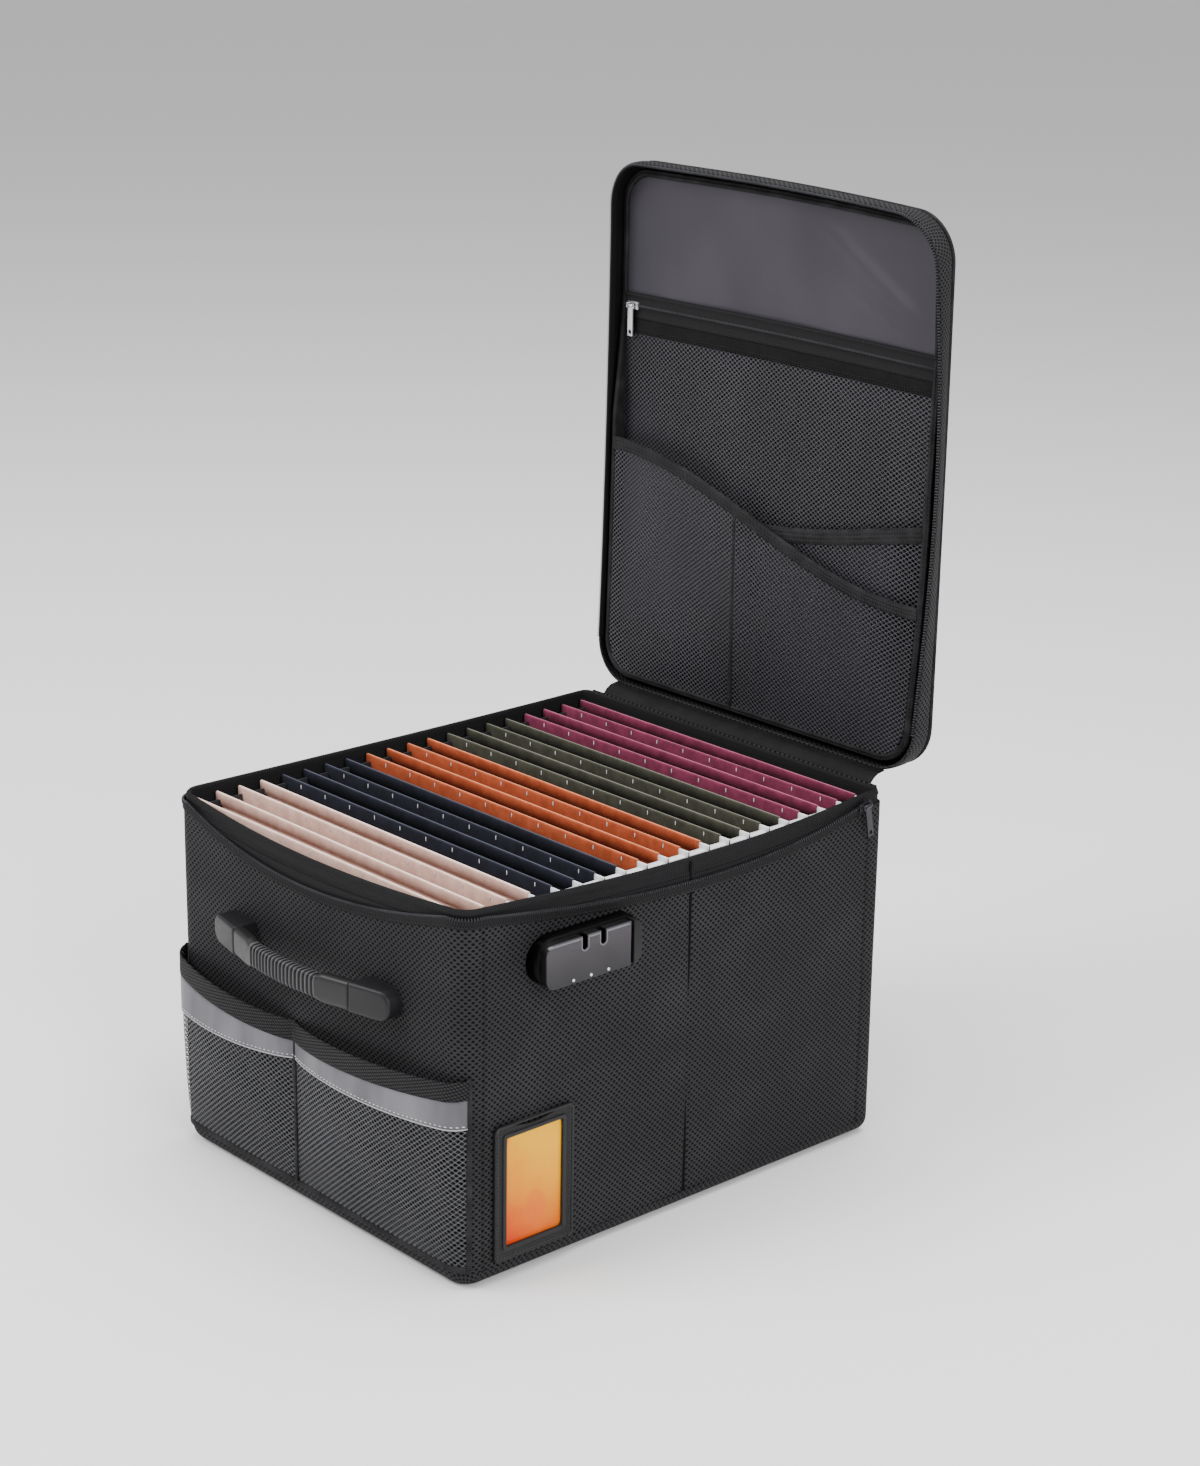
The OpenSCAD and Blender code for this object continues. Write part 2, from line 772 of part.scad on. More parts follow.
// Bulged strip seen from above, from one seam to the next, between two layers
module pocket_bow(x0, x1, out0, out1) {
    half = (x1 - x0) / 2;
    r = arc_r(half, pocket_arc);
    translate([(x0 + x1) / 2, -half_d - pocket_arc + r])
        intersection() {
            difference() {
                circle(r = r + out1, $fn = 180);
                circle(r = r + out0, $fn = 180);
            }
            translate([-half, -r - out1 - 1]) square([2 * half, pocket_arc + out1 + 1]);
        }
}
module pocket_pair(out0, out1, z0, z1) {
    translate([0, 0, z0]) linear_extrude(z1 - z0) {
        pocket_bow(-flat_w, pocket_seam_x, out0, out1);
        pocket_bow(pocket_seam_x, flat_w, out0, out1);
    }
}

// The mesh is closed at the bottom by a crescent of the same cloth
module front_pocket_mesh() color("#2b2b2d") {
    pocket_pair(0, pocket_mesh_t, bottom_r, pocket_top);
    translate([0, 0, bottom_r]) linear_extrude(pocket_mesh_t)
        for (span = [[-flat_w, pocket_seam_x], [pocket_seam_x, flat_w]]) {
            half = (span[1] - span[0]) / 2;
            r = arc_r(half, pocket_arc);
            translate([(span[0] + span[1]) / 2, -half_d - pocket_arc + r])
                intersection() {
                    circle(r = r + pocket_mesh_t / 2, $fn = 180);
                    translate([-half, -r - pocket_mesh_t]) square([2 * half, pocket_arc + pocket_mesh_t]);
                }
        }
}

// Webbing along the pocket tops, outside the mesh
module front_pocket_webbing() color("#161618")
    pocket_pair(pocket_mesh_t + face_gap / 2, pocket_mesh_t + trim_t,
        pocket_top - pocket_webbing_h, pocket_top);

module reflective_strips() color("#77757a")
    pocket_pair(pocket_mesh_t + face_gap / 2, pocket_mesh_t + trim_t,
        pocket_top - pocket_webbing_h - reflective_h, pocket_top - pocket_webbing_h);

// ---- Handles ---------------------------------------------------------

// End cap: rounded outside, flat towards the grip, hollow where the grip's tang slides
module end_cap() {
    round_r = cap_h / 2 - cap_flat;
    difference() {
        linear_extrude(cap_depth) {
            translate([cap_inner, -cap_h / 2]) square([cap_outer - round_r - cap_inner, cap_h]);
            translate([cap_inner, -cap_h / 2 + round_r]) square([cap_outer - cap_inner, cap_h - 2 * round_r]);
            for (s = [-1, 1])
                translate([cap_outer - round_r, s * (cap_h / 2 - round_r)]) circle(r = round_r);
        }
        translate([cap_inner - 1, -cap_h / 2 + cap_wall * 2, cap_cavity_floor])
            cube([1 + tang_len + cap_flat, cap_h - 4 * cap_wall, cap_depth - cap_wall - cap_cavity_floor]);
        translate([cap_inner + cap_slot_in, 0, cap_cavity_floor + 1]) cube([cap_slot_len, cap_h, cap_slot_w]);
        for (s = [-1, 1])
            translate([cap_screw_x, s * cap_screw_z, -1])
                cylinder(r = screw_r + pilot_clear, h = 1 + cap_screw_depth + pilot_over, $fn = 32);
    }
}
module handle_caps() color("#2a2a2c")
    for (side = [-1, 1])
        on_end(side) {
            end_cap();
            mirror([1, 0, 0]) end_cap();
        }

// Bowed grip with grooves and a flat tang at each end
module grip() {
    half = grip_half;
    r_out = arc_r(half, grip_bow);
    r_in = arc_r(half, grip_bow - grip_taper);
    inner_n = cap_depth - grip_t;
    difference() {
        translate([0, -grip_h / 2, 0]) rotate([-90, 0, 0]) mirror([0, 1, 0])
            linear_extrude(grip_h) difference() {
                intersection() {
                    translate([0, cap_depth + grip_bow - r_out]) circle(r = r_out, $fn = 180);
                    translate([-half, inner_n - 1]) square([2 * half, grip_bow + grip_t + 2]);
                }
                translate([0, inner_n + grip_bow - grip_taper - r_in]) circle(r = r_in, $fn = 180);
            }
        for (i = [0 : rib_count - 1]) {
            x = (i - (rib_count - 1) / 2) * rib_pitch;
            n = cap_depth + grip_bow - r_out + sqrt(r_out * r_out - x * x);
            translate([x - rib_pitch / 6, -grip_h, n - 1]) cube([rib_pitch / 3, 2 * grip_h, 3]);
        }
    }
    for (s = [-1, 1])
        translate([s > 0 ? half : -half - tang_len, -cap_h / 2 + 2 * cap_wall + tang_side_gap, tang_n])
            cube([tang_len, cap_h - 4 * cap_wall - 2 * tang_side_gap, tang_t]);
}
module front_grip() color("#1a1a1c") on_end(-1) grip();
module rear_grip() color("#1a1a1c") on_end(1) grip();

// Inner plates that spread the load of the handle screws
module handle_plates() color("#9a9a9e")
    difference() {
        for (side = [-1, 1])
            on_end(side)
                for (s = [-1, 1])
                    translate([s * cap_screw_x, 0, -wall_t - plate_t]) linear_extrude(plate_t)
                        round_rect(plate_w, plate_h, plate_r);
        screw_holes();
    }

// Pan-head screws, driven from inside the box
module screw(depth) {
    translate([0, 0, -wall_t - plate_t]) cylinder(r = screw_r, h = wall_t + plate_t + depth, $fn = 32);
    translate([0, 0, -wall_t - plate_t - screw_head_t]) cylinder(r = 2 * screw_r, h = screw_head_t, $fn = 32);
}
module fixing_screws() color("#a0a0a4") {
    for (side = [-1, 1]) at_handle_screws(side) screw(cap_screw_depth);
    at_lock_screws() screw(lock_screw_depth);
}

// ---- Lock ------------------------------------------------------------

// Outline of the base plate, with a margin around it
module lock_base_outline(margin) {
    out = lock_margin + margin;
    round_rect(lock_len + 2 * out, lock_h + 2 * out, lock_base_r + margin);
}

// Base plate with screw bosses and two posts for the dial axle
module lock_base() color("#101012")
    on_lock() difference() {
        union() {
            linear_extrude(lock_base_t) lock_base_outline(0);
            for (s = lock_screw_s)
                translate([s, lock_screw_t, 0]) cylinder(r = boss_r, h = boss_h);
            for (s = [-1, 1])
                translate([dial_mid + s * post_s - post_t / 2, dial_t - post_half, lock_base_t - 1])
                    cube([post_t, 2 * post_half, 1 + dial_n - lock_base_t + post_over]);
        }
        for (s = lock_screw_s)
            translate([s, lock_screw_t, -1])
                cylinder(r = screw_r + pilot_clear, h = 2 + lock_screw_depth, $fn = 32);
        translate([dial_mid - lock_len / 2, dial_t, dial_n]) rotate([0, 90, 0])
            cylinder(r = axle_r, h = lock_len);
    }

// Rounded box outline of the lock cover
module lock_block(inset, n0, n1) {
    translate([0, 0, n0]) linear_extrude(n1 - n0)
        round_rect(lock_len - 2 * inset, lock_h - 2 * inset, lock_cover_r - inset);
}

// Cover with two slots for the zip pulls, three dial windows and an open right end
module lock_cover() color("#4a484c")
    on_lock() difference() {
        lock_block(0, lock_base_t, lock_depth);
        lock_block(lock_wall, lock_base_t - 1, lock_depth - lock_wall);
        translate([cover_end, -lock_h, 0]) cube([lock_len, 2 * lock_h, lock_depth + 1]);
        for (s = [-1, 1])
            translate([s * slot_pitch / 2 + slot_shift, lock_h / 2 - slot_depth + slot_w / 2, slot_floor]) {
                translate([-slot_w / 2, 0, 0]) cube([slot_w, slot_depth, lock_depth]);
                cylinder(r = slot_w / 2, h = lock_depth);
            }
        for (k = [-1 : 1])
            translate([dial_mid + k * dial_pitch - dial_w / 2 - dial_side_gap,
                       -lock_h, dial_n - dial_r - dial_gap])
                cube([dial_w + 2 * dial_side_gap, lock_h / 2 + dial_window_h, 2 * (dial_r + dial_gap)]);
    }

module lock_plate() color("#9a9a9e")
    difference() {
        on_lock() translate([-lock_len / 2, -lock_plate_below, -wall_t - plate_t])
            cube([lock_len, lock_plate_below + lock_plate_above, plate_t]);
        screw_holes();
    }

module lock_axle() color("#c8c8cc")
    on_lock() translate([dial_mid - axle_half, dial_t, dial_n]) rotate([0, 90, 0])
        cylinder(r = axle_r - axle_clear, h = 2 * axle_half);

// Number dial number k, with ten finger notches
module lock_dial(k) color("#d0d0d0")
    on_lock() translate([dial_mid + (k - 2) * dial_pitch - dial_w / 2, dial_t, dial_n]) rotate([0, 90, 0])
        difference() {
            cylinder(r = dial_r, h = dial_w);
            translate([0, 0, -1]) cylinder(r = axle_r, h = dial_w + 2);
            for (a = [18 : 36 : 359])
                rotate([0, 0, a]) translate([dial_r + 0.5, 0, -1]) cylinder(r = 1, h = dial_w + 2, $fn = 24);
        }

// Release button: the sliding right end of the lock, with a stem into the cover
module lock_button() color("#454347")
    on_lock() {
        intersection() {
            lock_block(0, lock_base_t + face_gap, lock_depth);
            translate([button_start, -lock_h, 0]) cube([lock_len, 2 * lock_h, lock_depth + 1]);
        }
        translate([latch_end, latch_t, latch_n]) cube([button_start - latch_end, stem_w, stem_w]);
    }

// Latch bar behind the slots, with a hook beside each slot
module lock_latch() color("#b0b0b4")
    on_lock() {
        translate([-slot_pitch, latch_t, latch_n]) cube([slot_pitch + latch_end, latch_w, latch_bar_t]);
        for (s = [-1, 1])
            translate([s * slot_pitch / 2 + slot_w / 2 + 1, latch_t + latch_w, latch_n])
                cube([latch_bar_t, latch_w, latch_bar_t]);
    }

// ---- Label holder ----------------------------------------------------

// Leather frame: sewn on three sides, open at the top for the card
module label_frame() color("#161517")
    on_label() difference() {
        translate([0, label_mid_z, 0]) linear_extrude(card_space + leather_t)
            round_rect(label_w, label_h, label_r);
        translate([-card_w / 2 - card_side_gap, card_bottom - card_rest, -1])
            cube([card_w + 2 * card_side_gap, label_h, 1 + card_space]);
        translate([0, card_bottom + card_h / 2, 0]) linear_extrude(2 * leather_t + card_space)
            round_rect(window_w, window_h, window_r);
        // finger cut in the top edge
        translate([0, label_z + label_h + finger_cut_r - finger_cut_depth, -1])
            cylinder(r = finger_cut_r, h = 2 + card_space + leather_t, $fn = 120);
    }

module label_window() color("#e8f0f4", 0.35)
    on_label() translate([-card_w / 2 - card_side_gap + card_rest, card_bottom, card_space - window_t])
        cube([card_w + 2 * (card_side_gap - card_rest), card_h, window_t]);

module label_card() color("#e08030")
    on_label() translate([-card_w / 2, card_bottom, (card_space - window_t - card_t) / 2])
        cube([card_w, card_h, card_t]);

// ---- Main zip sliders ------------------------------------------------

// Slider on the box's zip at a rear corner, with a channel for the coil and the tape
module at_slider(side) {
    z = coil_z - arc_drop(slider_y, flat_d, side_sag);
    mirror([side < 0 ? 1 : 0, 0, 0])
        translate([half_w + coil_out, slider_y, z])
            rotate([slide_deg, 0, 0]) children();
}

// Middle of a crown's ear, beside the pull
function ear(side) = side * (pull_w / 2 + crown_gap + crown_t / 2) - crown_t / 2;
module zip_slider(side) {
    channel = coil_d + coil_play;
    pin_len = pull_w + 2 * crown_gap + crown_t;
    at_slider(side) {
        difference() {
            translate([-slider_w / 2, -slider_len / 2, -slider_h / 2 - slider_low])
                cube([slider_w, slider_len, slider_h]);
            translate([-channel / 2, -slider_len, -channel / 2])
                cube([channel, 2 * slider_len, slider_h + 2]);
            translate([-tape_slot / 2, -slider_len, -slider_h]) cube([tape_slot, 2 * slider_len, slider_h]);
        }
        // crown that the pull hangs from
        for (s = [-1, 1])
            translate([slider_w / 2, ear(s), -crown_h / 2])
                cube([crown_out + pull_pin_r + crown_edge, crown_t, crown_h]);
        translate([slider_w / 2 + crown_out, -pin_len / 2, 0]) rotate([-90, 0, 0])
            cylinder(r = pull_pin_r, h = pin_len, $fn = 24);
    }
}

// Flat pull with an eye at its top and a hole near its end
module pull_tab() {
    w = pull_w - 2 * crown_gap;
    hole_up = 0.6 * w;
    hole_r = 0.28 * w;
    difference() {
        union() {
            translate([-pull_t / 2, -w / 2, -pull_len]) cube([pull_t, w, pull_len]);
            rotate([-90, 0, 0]) translate([0, 0, -w / 2]) cylinder(r = pull_eye_r, h = w, $fn = 32);
        }
        rotate([-90, 0, 0]) translate([0, 0, -w]) cylinder(r = pull_pin_r + pin_clear, h = 2 * w, $fn = 24);
        translate([-pull_t, 0, hole_up - pull_len]) rotate([0, 90, 0])
            cylinder(r = hole_r, h = 2 * pull_t, $fn = 24);
    }
}
module zip_pull(side) {
    at_slider(side) translate([slider_w / 2 + crown_out, 0, 0]) pull_tab();
}
module zip_slider_left() color("#3c3c40") zip_slider(-1);
module zip_slider_right() color("#3c3c40") zip_slider(1);
module zip_pull_left() color("#3c3c40") zip_pull(-1);
module zip_pull_right() color("#3c3c40") zip_pull(1);

// ---- Lid, drawn closed and swung open --------------------------------

// Solid with a rounded top edge, set in from the outer face
module lid_cap(inset) {
    r = lid_edge_r - inset;
    hull()
        for (a = [0 : 22.5 : 90])
            translate([0, 0, side_band_top + r * sin(a) - eps])
                linear_extrude(eps) lid_outline(inset + r * (1 - cos(a)), $fn = 32);
}
module lid_cover() color("#1c1c1f")
    on_open_lid() difference() {
        lid_cap(0);
        translate([0, 0, -eps]) lid_cap(cover_t);
        translate([-lid_w, -2 * lid_d, side_band_top - 1]) cube([2 * lid_w, 4 * lid_d, 1]);
    }

module lid_side_band() color("#1c1c1f")
    on_open_lid() lid_ring(0, cover_t, side_band_bottom, side_band_top);

module lid_board() color("#8a6f52")
    on_open_lid() translate([0, 0, lining_z + lining_t + face_gap / 2])
        linear_extrude(board_t - face_gap) lid_outline(lid_board_in);

module lid_lining() color("#55525a")
    on_open_lid() translate([0, 0, lining_z]) linear_extrude(lining_t) lid_outline(lid_lining_in);

// Zip tape inside the side band, with the coil along its edge
module lid_zip() on_open_lid() {
    color("#202023") difference() {
        lid_ring(cover_t, cover_t + tape_t, lid_z + coil_d, lid_z + coil_d + tape_h);
        translate([-lid_w, lid_back_y - lid_corner_r, 0]) cube([2 * lid_w, lid_d, 2 * box_h]);
    }
    color("#8c8c90") swept_tube(lid_zip_path(), coil_d / 2 - 0.05, 6);
}

// Area of the lid's lining panel between two distances from the hinge edge
module panel_band(v0, v1) {
    intersection() {
        lid_outline(panel_in);
        translate([-lid_w, lid_back_y - v1]) square([2 * lid_w, v1 - v0]);
    }
}

// Welt around the panel that all pockets are sewn to, and the seam between them
module lid_welts() color("#161618")
    on_open_lid() {
        lid_ring(welt_in, panel_in, front_mesh_z, lining_z);
        translate([lid_seam_x - welt_t / 2, lid_back_y - level_left_v, front_mesh_z + mesh_t])
            cube([welt_t, level_left_v - panel_in - face_gap, zip_mesh_z - front_mesh_z - mesh_t]);
    }

module lid_pocket_zip() color("#19191b")
    on_open_lid() translate([0, 0, zip_mesh_z - 0.4]) linear_extrude(mesh_t + 0.8)
        panel_band(pocket_zip_v - pocket_zip_w / 2, pocket_zip_v + pocket_zip_w / 2);

// Rows of square openings from x0 to x1 and up from v0, while they stay below a top edge
module net(x0, x1, v0, top) {
    gap = net_pitch - net_bar;
    nx = floor((x1 - x0 + net_bar) / net_pitch);
    margin = (x1 - x0 + net_bar - nx * net_pitch) / 2;
    for (i = [0 : nx - 1]) {
        x = x0 + margin + i * net_pitch;
        nv = floor((min(top(x), top(x + gap)) - v0 + net_bar) / net_pitch);
        if (nv > 0)
            for (j = [0 : nv - 1])
                translate([x, lid_back_y - v0 - j * net_pitch - gap]) square(gap);
    }
}

// Full-width mesh under the lid pocket's zip
module lid_zip_mesh() color("#2b2b2d")
    on_open_lid() translate([0, 0, zip_mesh_z]) linear_extrude(mesh_t) difference() {
        panel_band(0, pocket_zip_v - pocket_zip_w / 2);
        net(-panel_half_w + net_edge, panel_half_w - net_edge, net_start,
            function(x) pocket_zip_v - pocket_zip_w / 2 - net_edge);
    }

// Mesh of the right pocket, with its elastic binding
module lid_right_mesh() color("#2b2b2d")
    on_open_lid() {
        x0 = lid_seam_x + welt_t / 2;
        translate([0, 0, right_mesh_z]) linear_extrude(mesh_t) difference() {
            intersection() {
                lid_outline(panel_in);
                polygon([
                    [x0, lid_back_y - panel_in], [x0, lid_back_y - level_left_v],
                    [panel_half_w, lid_back_y - level_right_v], [panel_half_w, lid_back_y - panel_in]
                ]);
            }
            net(x0 + net_edge, panel_half_w - net_edge, net_start,
                function(x) level_left_v - binding_w - net_edge / 2);
        }
        translate([0, 0, right_mesh_z - trim_t]) linear_extrude(trim_t)
            polygon([
                [x0, lid_back_y - level_left_v + binding_w], [x0, lid_back_y - level_left_v],
                [panel_half_w, lid_back_y - level_right_v],
                [panel_half_w, lid_back_y - level_right_v + binding_w]
            ]);
    }

// Falling S-curve of the front pocket's top edge
function diag_v(f) = diag_right_v + (diag_left_v - diag_right_v) * (0.5 + 0.5 * cos(180 * f));
function diag_edge(down, n) =
    [for (i = [0 : n]) [-panel_half_w + 2 * panel_half_w * i / n, lid_back_y - diag_v(i / n) + down]];
module lid_front_mesh() color("#2b2b2d")
    on_open_lid() {
        steps = 12;
        translate([0, 0, front_mesh_z]) linear_extrude(mesh_t) difference() {
            intersection() {
                lid_outline(panel_in);
                polygon(concat(diag_edge(0, steps),
                    [[panel_half_w, lid_back_y - panel_in], [-panel_half_w, lid_back_y - panel_in]]));
            }
            for (span = [[-panel_half_w, lid_seam_x], [lid_seam_x, panel_half_w]])
                net(span[0] + net_edge, span[1] - net_edge, net_start,
                    function(x) diag_v((x + panel_half_w) / (2 * panel_half_w)) - binding_w - net_edge / 2);
        }
        translate([0, 0, front_mesh_z - trim_t]) linear_extrude(trim_t)
            polygon(concat(diag_edge(0, steps), [for (i = [steps : -1 : 0]) diag_edge(binding_w, steps)[i]]));
    }

// Slider of the lid pocket, parked at the left end of its zip
module at_pocket_slider() {
    on_open_lid() translate([pocket_slider_x, lid_back_y - pocket_zip_v, zip_mesh_z - 0.4]) children();
}
module lid_pocket_slider() color("#c4c4c8")
    at_pocket_slider() {
        pin_len = pull_w + 2 * crown_gap + crown_t;
        translate([-slider_len / 2, -pocket_slider_w / 2, -face_gap - pocket_slider_t])
            cube([slider_len, pocket_slider_w, pocket_slider_t]);
        for (s = [-1, 1])
            translate([ear(s), -crown_h / 2, -pocket_pin_n - 1]) cube([crown_t, crown_h, pocket_pin_n - 1]);
        translate([-pin_len / 2, 0, -pocket_pin_n]) rotate([0, 90, 0])
            cylinder(r = pull_pin_r, h = pin_len, $fn = 24);
    }
module lid_pocket_pull() color("#c4c4c8")
    at_pocket_slider() translate([0, 0, -pocket_pin_n]) rotate([90, 0, 0]) rotate([0, 0, 90])
        pull_tab();

// ---- Parts -----------------------------------------------------------

front_panel();
back_panel();
left_panel();
right_panel();
bottom_panel();
end_boards();
side_boards();
bottom_board();
lining();
rim_band();
body_zip();
hinge_gusset();
rail_left();
rail_right();
front_pocket_mesh();
front_pocket_webbing();
reflective_strips();
handle_caps();
handle_plates();
fixing_screws();
front_grip();
rear_grip();
lock_base();
lock_cover();
lock_plate();
lock_axle();
lock_dial(1);  // lock_dial_1
lock_dial(2);  // lock_dial_2
lock_dial(3);  // lock_dial_3
lock_button();
lock_latch();
label_frame();
label_window();
label_card();
zip_slider_left();
zip_slider_right();
zip_pull_left();
zip_pull_right();
lid_cover();
lid_side_band();
lid_board();
lid_lining();
lid_zip();
lid_welts();
lid_pocket_zip();
lid_pocket_slider();
lid_pocket_pull();
lid_zip_mesh();
lid_right_mesh();
lid_front_mesh();
for (i = [0 : folder_count - 1])
    folder(i);
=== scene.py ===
# %% [markdown]
# # A portable file box
# The box is a stiffened fabric case with a zipped tray lid, which stands open. This lesson
# dresses its construction model: every cover, zip, mesh and fitting gets its real surface,
# and each piece rides on the part of the model that carries it.

import math

import bmesh
import bpy
import numpy as np
from mathutils import Matrix, Vector


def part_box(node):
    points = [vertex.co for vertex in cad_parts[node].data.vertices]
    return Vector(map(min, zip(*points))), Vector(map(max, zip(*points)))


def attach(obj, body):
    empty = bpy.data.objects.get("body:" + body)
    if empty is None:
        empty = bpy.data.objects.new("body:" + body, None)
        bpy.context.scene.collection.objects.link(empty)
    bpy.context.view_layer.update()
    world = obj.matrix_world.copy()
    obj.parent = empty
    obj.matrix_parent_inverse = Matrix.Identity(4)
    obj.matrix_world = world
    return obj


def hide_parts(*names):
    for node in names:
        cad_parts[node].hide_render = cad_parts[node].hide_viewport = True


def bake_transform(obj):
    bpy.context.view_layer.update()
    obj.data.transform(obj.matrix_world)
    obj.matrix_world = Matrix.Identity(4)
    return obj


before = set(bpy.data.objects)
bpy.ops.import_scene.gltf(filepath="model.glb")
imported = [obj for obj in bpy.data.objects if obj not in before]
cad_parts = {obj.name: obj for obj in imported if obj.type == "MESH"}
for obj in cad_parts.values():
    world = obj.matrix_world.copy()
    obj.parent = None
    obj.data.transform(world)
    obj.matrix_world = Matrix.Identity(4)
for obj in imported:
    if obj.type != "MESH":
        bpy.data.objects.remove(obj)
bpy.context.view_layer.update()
MM = 0.001

# %% [markdown]
# The camera comes first. It stands in front of the box's front-right corner and a little
# above it. Its angles were fitted to the outline of the real box, so the dressed model can
# be laid over the view without any later shift.

# %% Camera
camera_turn, camera_rise, camera_roll = math.radians(47.758), math.radians(17.784), 0.01501
camera_far, camera_lens = 2.1071, 73.31
look_at = Vector((0.0742, -0.0009, 0.3362))
back = Vector((math.sin(camera_turn) * math.cos(camera_rise),
               -math.cos(camera_turn) * math.cos(camera_rise), math.sin(camera_rise)))
level = Vector((0, 0, 1)).cross(back).normalized()
upward = back.cross(level)
across_view = math.cos(camera_roll) * level + math.sin(camera_roll) * upward
up_view = math.cos(camera_roll) * upward - math.sin(camera_roll) * level
camera = bpy.data.objects.new("camera", bpy.data.cameras.new("camera"))
camera.data.lens = camera_lens
camera.matrix_world = Matrix.Translation(look_at + back * camera_far) @ Matrix(
    (across_view, up_view, back)).transposed().to_4x4()
bpy.context.scene.collection.objects.link(camera)
bpy.context.scene.camera = camera
print("camera at", [round(c, 3) for c in camera.matrix_world.translation])

# %% [markdown]
# All sizes below are in millimetres, as a maker would write them, and most are read from
# the construction model, so a piece always lands on what carries it.

# %% Sizes read from the model
def cad(node):
    """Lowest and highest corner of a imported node, in millimetres."""
    low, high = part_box(node)
    return np.array(low) / MM, np.array(high) / MM


half_w, half_d, bottom_r = cad("bottom_panel")[1]
corner_r, cover_t = 18, 1.5
flat_w, flat_d = half_w - corner_r, half_d - corner_r
rim_z = cad("rim_band")[1][2]
cover_top = cad("front_panel")[1][2]
coil_r = 1.65
zip_z = cad("body_zip")[1][2] - coil_r - 1.7
lid_half_w, lid_back, lid_high = cad("lid_cover")[1]
lid_low = cad("lid_cover")[0][2]
lid_mid_z, lid_half_l = (lid_low + lid_high) / 2, (lid_high - lid_low) / 2
lid_depth, lid_r = 27, 35
lid_rim = lid_back - lid_depth
print("box", half_w * 2, half_d * 2, rim_z, "lid", lid_half_w * 2, lid_half_l * 2)

# %% [markdown]
# Shader maths reads best as plain arithmetic. `Value` wraps one output of a material's
# node tree, so that `1 - mask` or `thread * 0.4` adds the Math node by itself. `Finish` is
# one surface: `node` adds any node, and `dress` gives it colour, roughness and relief.

# %% Arithmetic for materials
class Value:
    def __init__(self, finish, socket):
        self.finish, self.socket = finish, socket

    def maths(self, operation, *others, swapped=False):
        terms = [self, *others]
        if swapped:
            terms.reverse()
        return self.finish.node("ShaderNodeMath", {"operation": operation}, dict(enumerate(terms)))

    def __rsub__(self, other):
        return self.maths("SUBTRACT", other, swapped=True)

    def wave(self):
        return (self * (2 * math.pi)).maths("SINE")

    def hump(self):
        return (self.maths("FRACT") * math.pi).maths("SINE")

    def fade(self, start, end):
        """0 before start, 1 after end."""
        return self.finish.node("ShaderNodeMapRange", {"interpolation_type": "SMOOTHSTEP"},
                                {0: self, 1: start, 2: end})


for symbol, kind in {"add": "ADD", "radd": "ADD", "sub": "SUBTRACT", "mul": "MULTIPLY", "rmul": "MULTIPLY",
                     "truediv": "DIVIDE", "pow": "POWER", "lt": "LESS_THAN", "gt": "GREATER_THAN"}.items():
    setattr(Value, f"__{symbol}__", lambda self, other, kind=kind: self.maths(kind, other))


def ink(code):
    """Colour from a hex code, as the linear values that a shader takes."""
    parts = [int(code[i:i + 2], 16) / 255 for i in (1, 3, 5)]
    return [p / 12.92 if p <= 0.04045 else ((p + 0.055) / 1.055) ** 2.4 for p in parts] + [1]


class Finish:
    def __init__(self, name, **constants):
        self.material = bpy.data.materials.new(name)
        self.material.use_nodes = True
        self.tree = self.material.node_tree
        self.shader = self.tree.nodes["Principled BSDF"]
        for socket, value in constants.items():
            self.shader.inputs[socket.replace("_", " ")].default_value = value

    def node(self, kind, settings=(), inputs=(), output=0):
        made = self.tree.nodes.new(kind)
        for name, value in dict(settings).items():
            setattr(made, name, value)
        for key, value in dict(inputs).items():
            if isinstance(value, Value):
                self.tree.links.new(value.socket, made.inputs[key])
            else:
                made.inputs[key].default_value = ink(value) if isinstance(value, str) else value
        return Value(self, made.outputs[output])

    def feed(self, socket, value):
        if isinstance(value, Value):
            self.tree.links.new(value.socket, self.shader.inputs[socket])
        else:
            self.shader.inputs[socket].default_value = value
        return self

    def split(self, place, count):
        return [self.node("ShaderNodeSeparateXYZ", (), {0: place}, k) * 1000 for k in range(count)]

    def sewn(self):
        """Millimetres along and across the cloth, from the piece's own UV map."""
        return self.split(self.node("ShaderNodeUVMap", {"uv_map": "UVMap"}), 2)

    def solid(self):
        """The place on the piece, in metres."""
        return self.node("ShaderNodeTexCoord", output=3)

    def axes(self):
        """The place on the piece, in millimetres."""
        return self.split(self.solid(), 3)

    def noise(self, size_mm, detail=3, stretch=(1, 1, 1)):
        """Soft random values around 0.5, with patches of about size_mm."""
        place = self.node("ShaderNodeMapping", (), {0: self.solid(), 3: stretch})
        return self.node("ShaderNodeTexNoise", (),
                         {"Vector": place, "Scale": 1 / (size_mm * MM), "Detail": detail})

    def blend(self, factor, first, second):
        return self.node("ShaderNodeMix", {"data_type": "RGBA"}, {0: factor, 6: first, 7: second}, 2)

    def dress(self, colour, rough, height, depth_mm, strength):
        """Feeds the colour and the roughness, and a relief of that depth."""
        bump = {"Height": height, "Distance": depth_mm * MM, "Strength": strength}
        self.feed("Base Color", colour).feed("Roughness", rough)
        return self.feed("Normal", self.node("ShaderNodeBump", (), bump))


print("a dark thread in linear colour:", [round(c, 4) for c in ink("#3a3a3a")])

# %% [markdown]
# The cover is a black weave of long flat threads in staggered rows. The threads catch the
# light, and between their ends lie small black holes. The pattern follows the cloth's own
# map in millimetres, so that a thread is as wide on the lid as it is on the box.

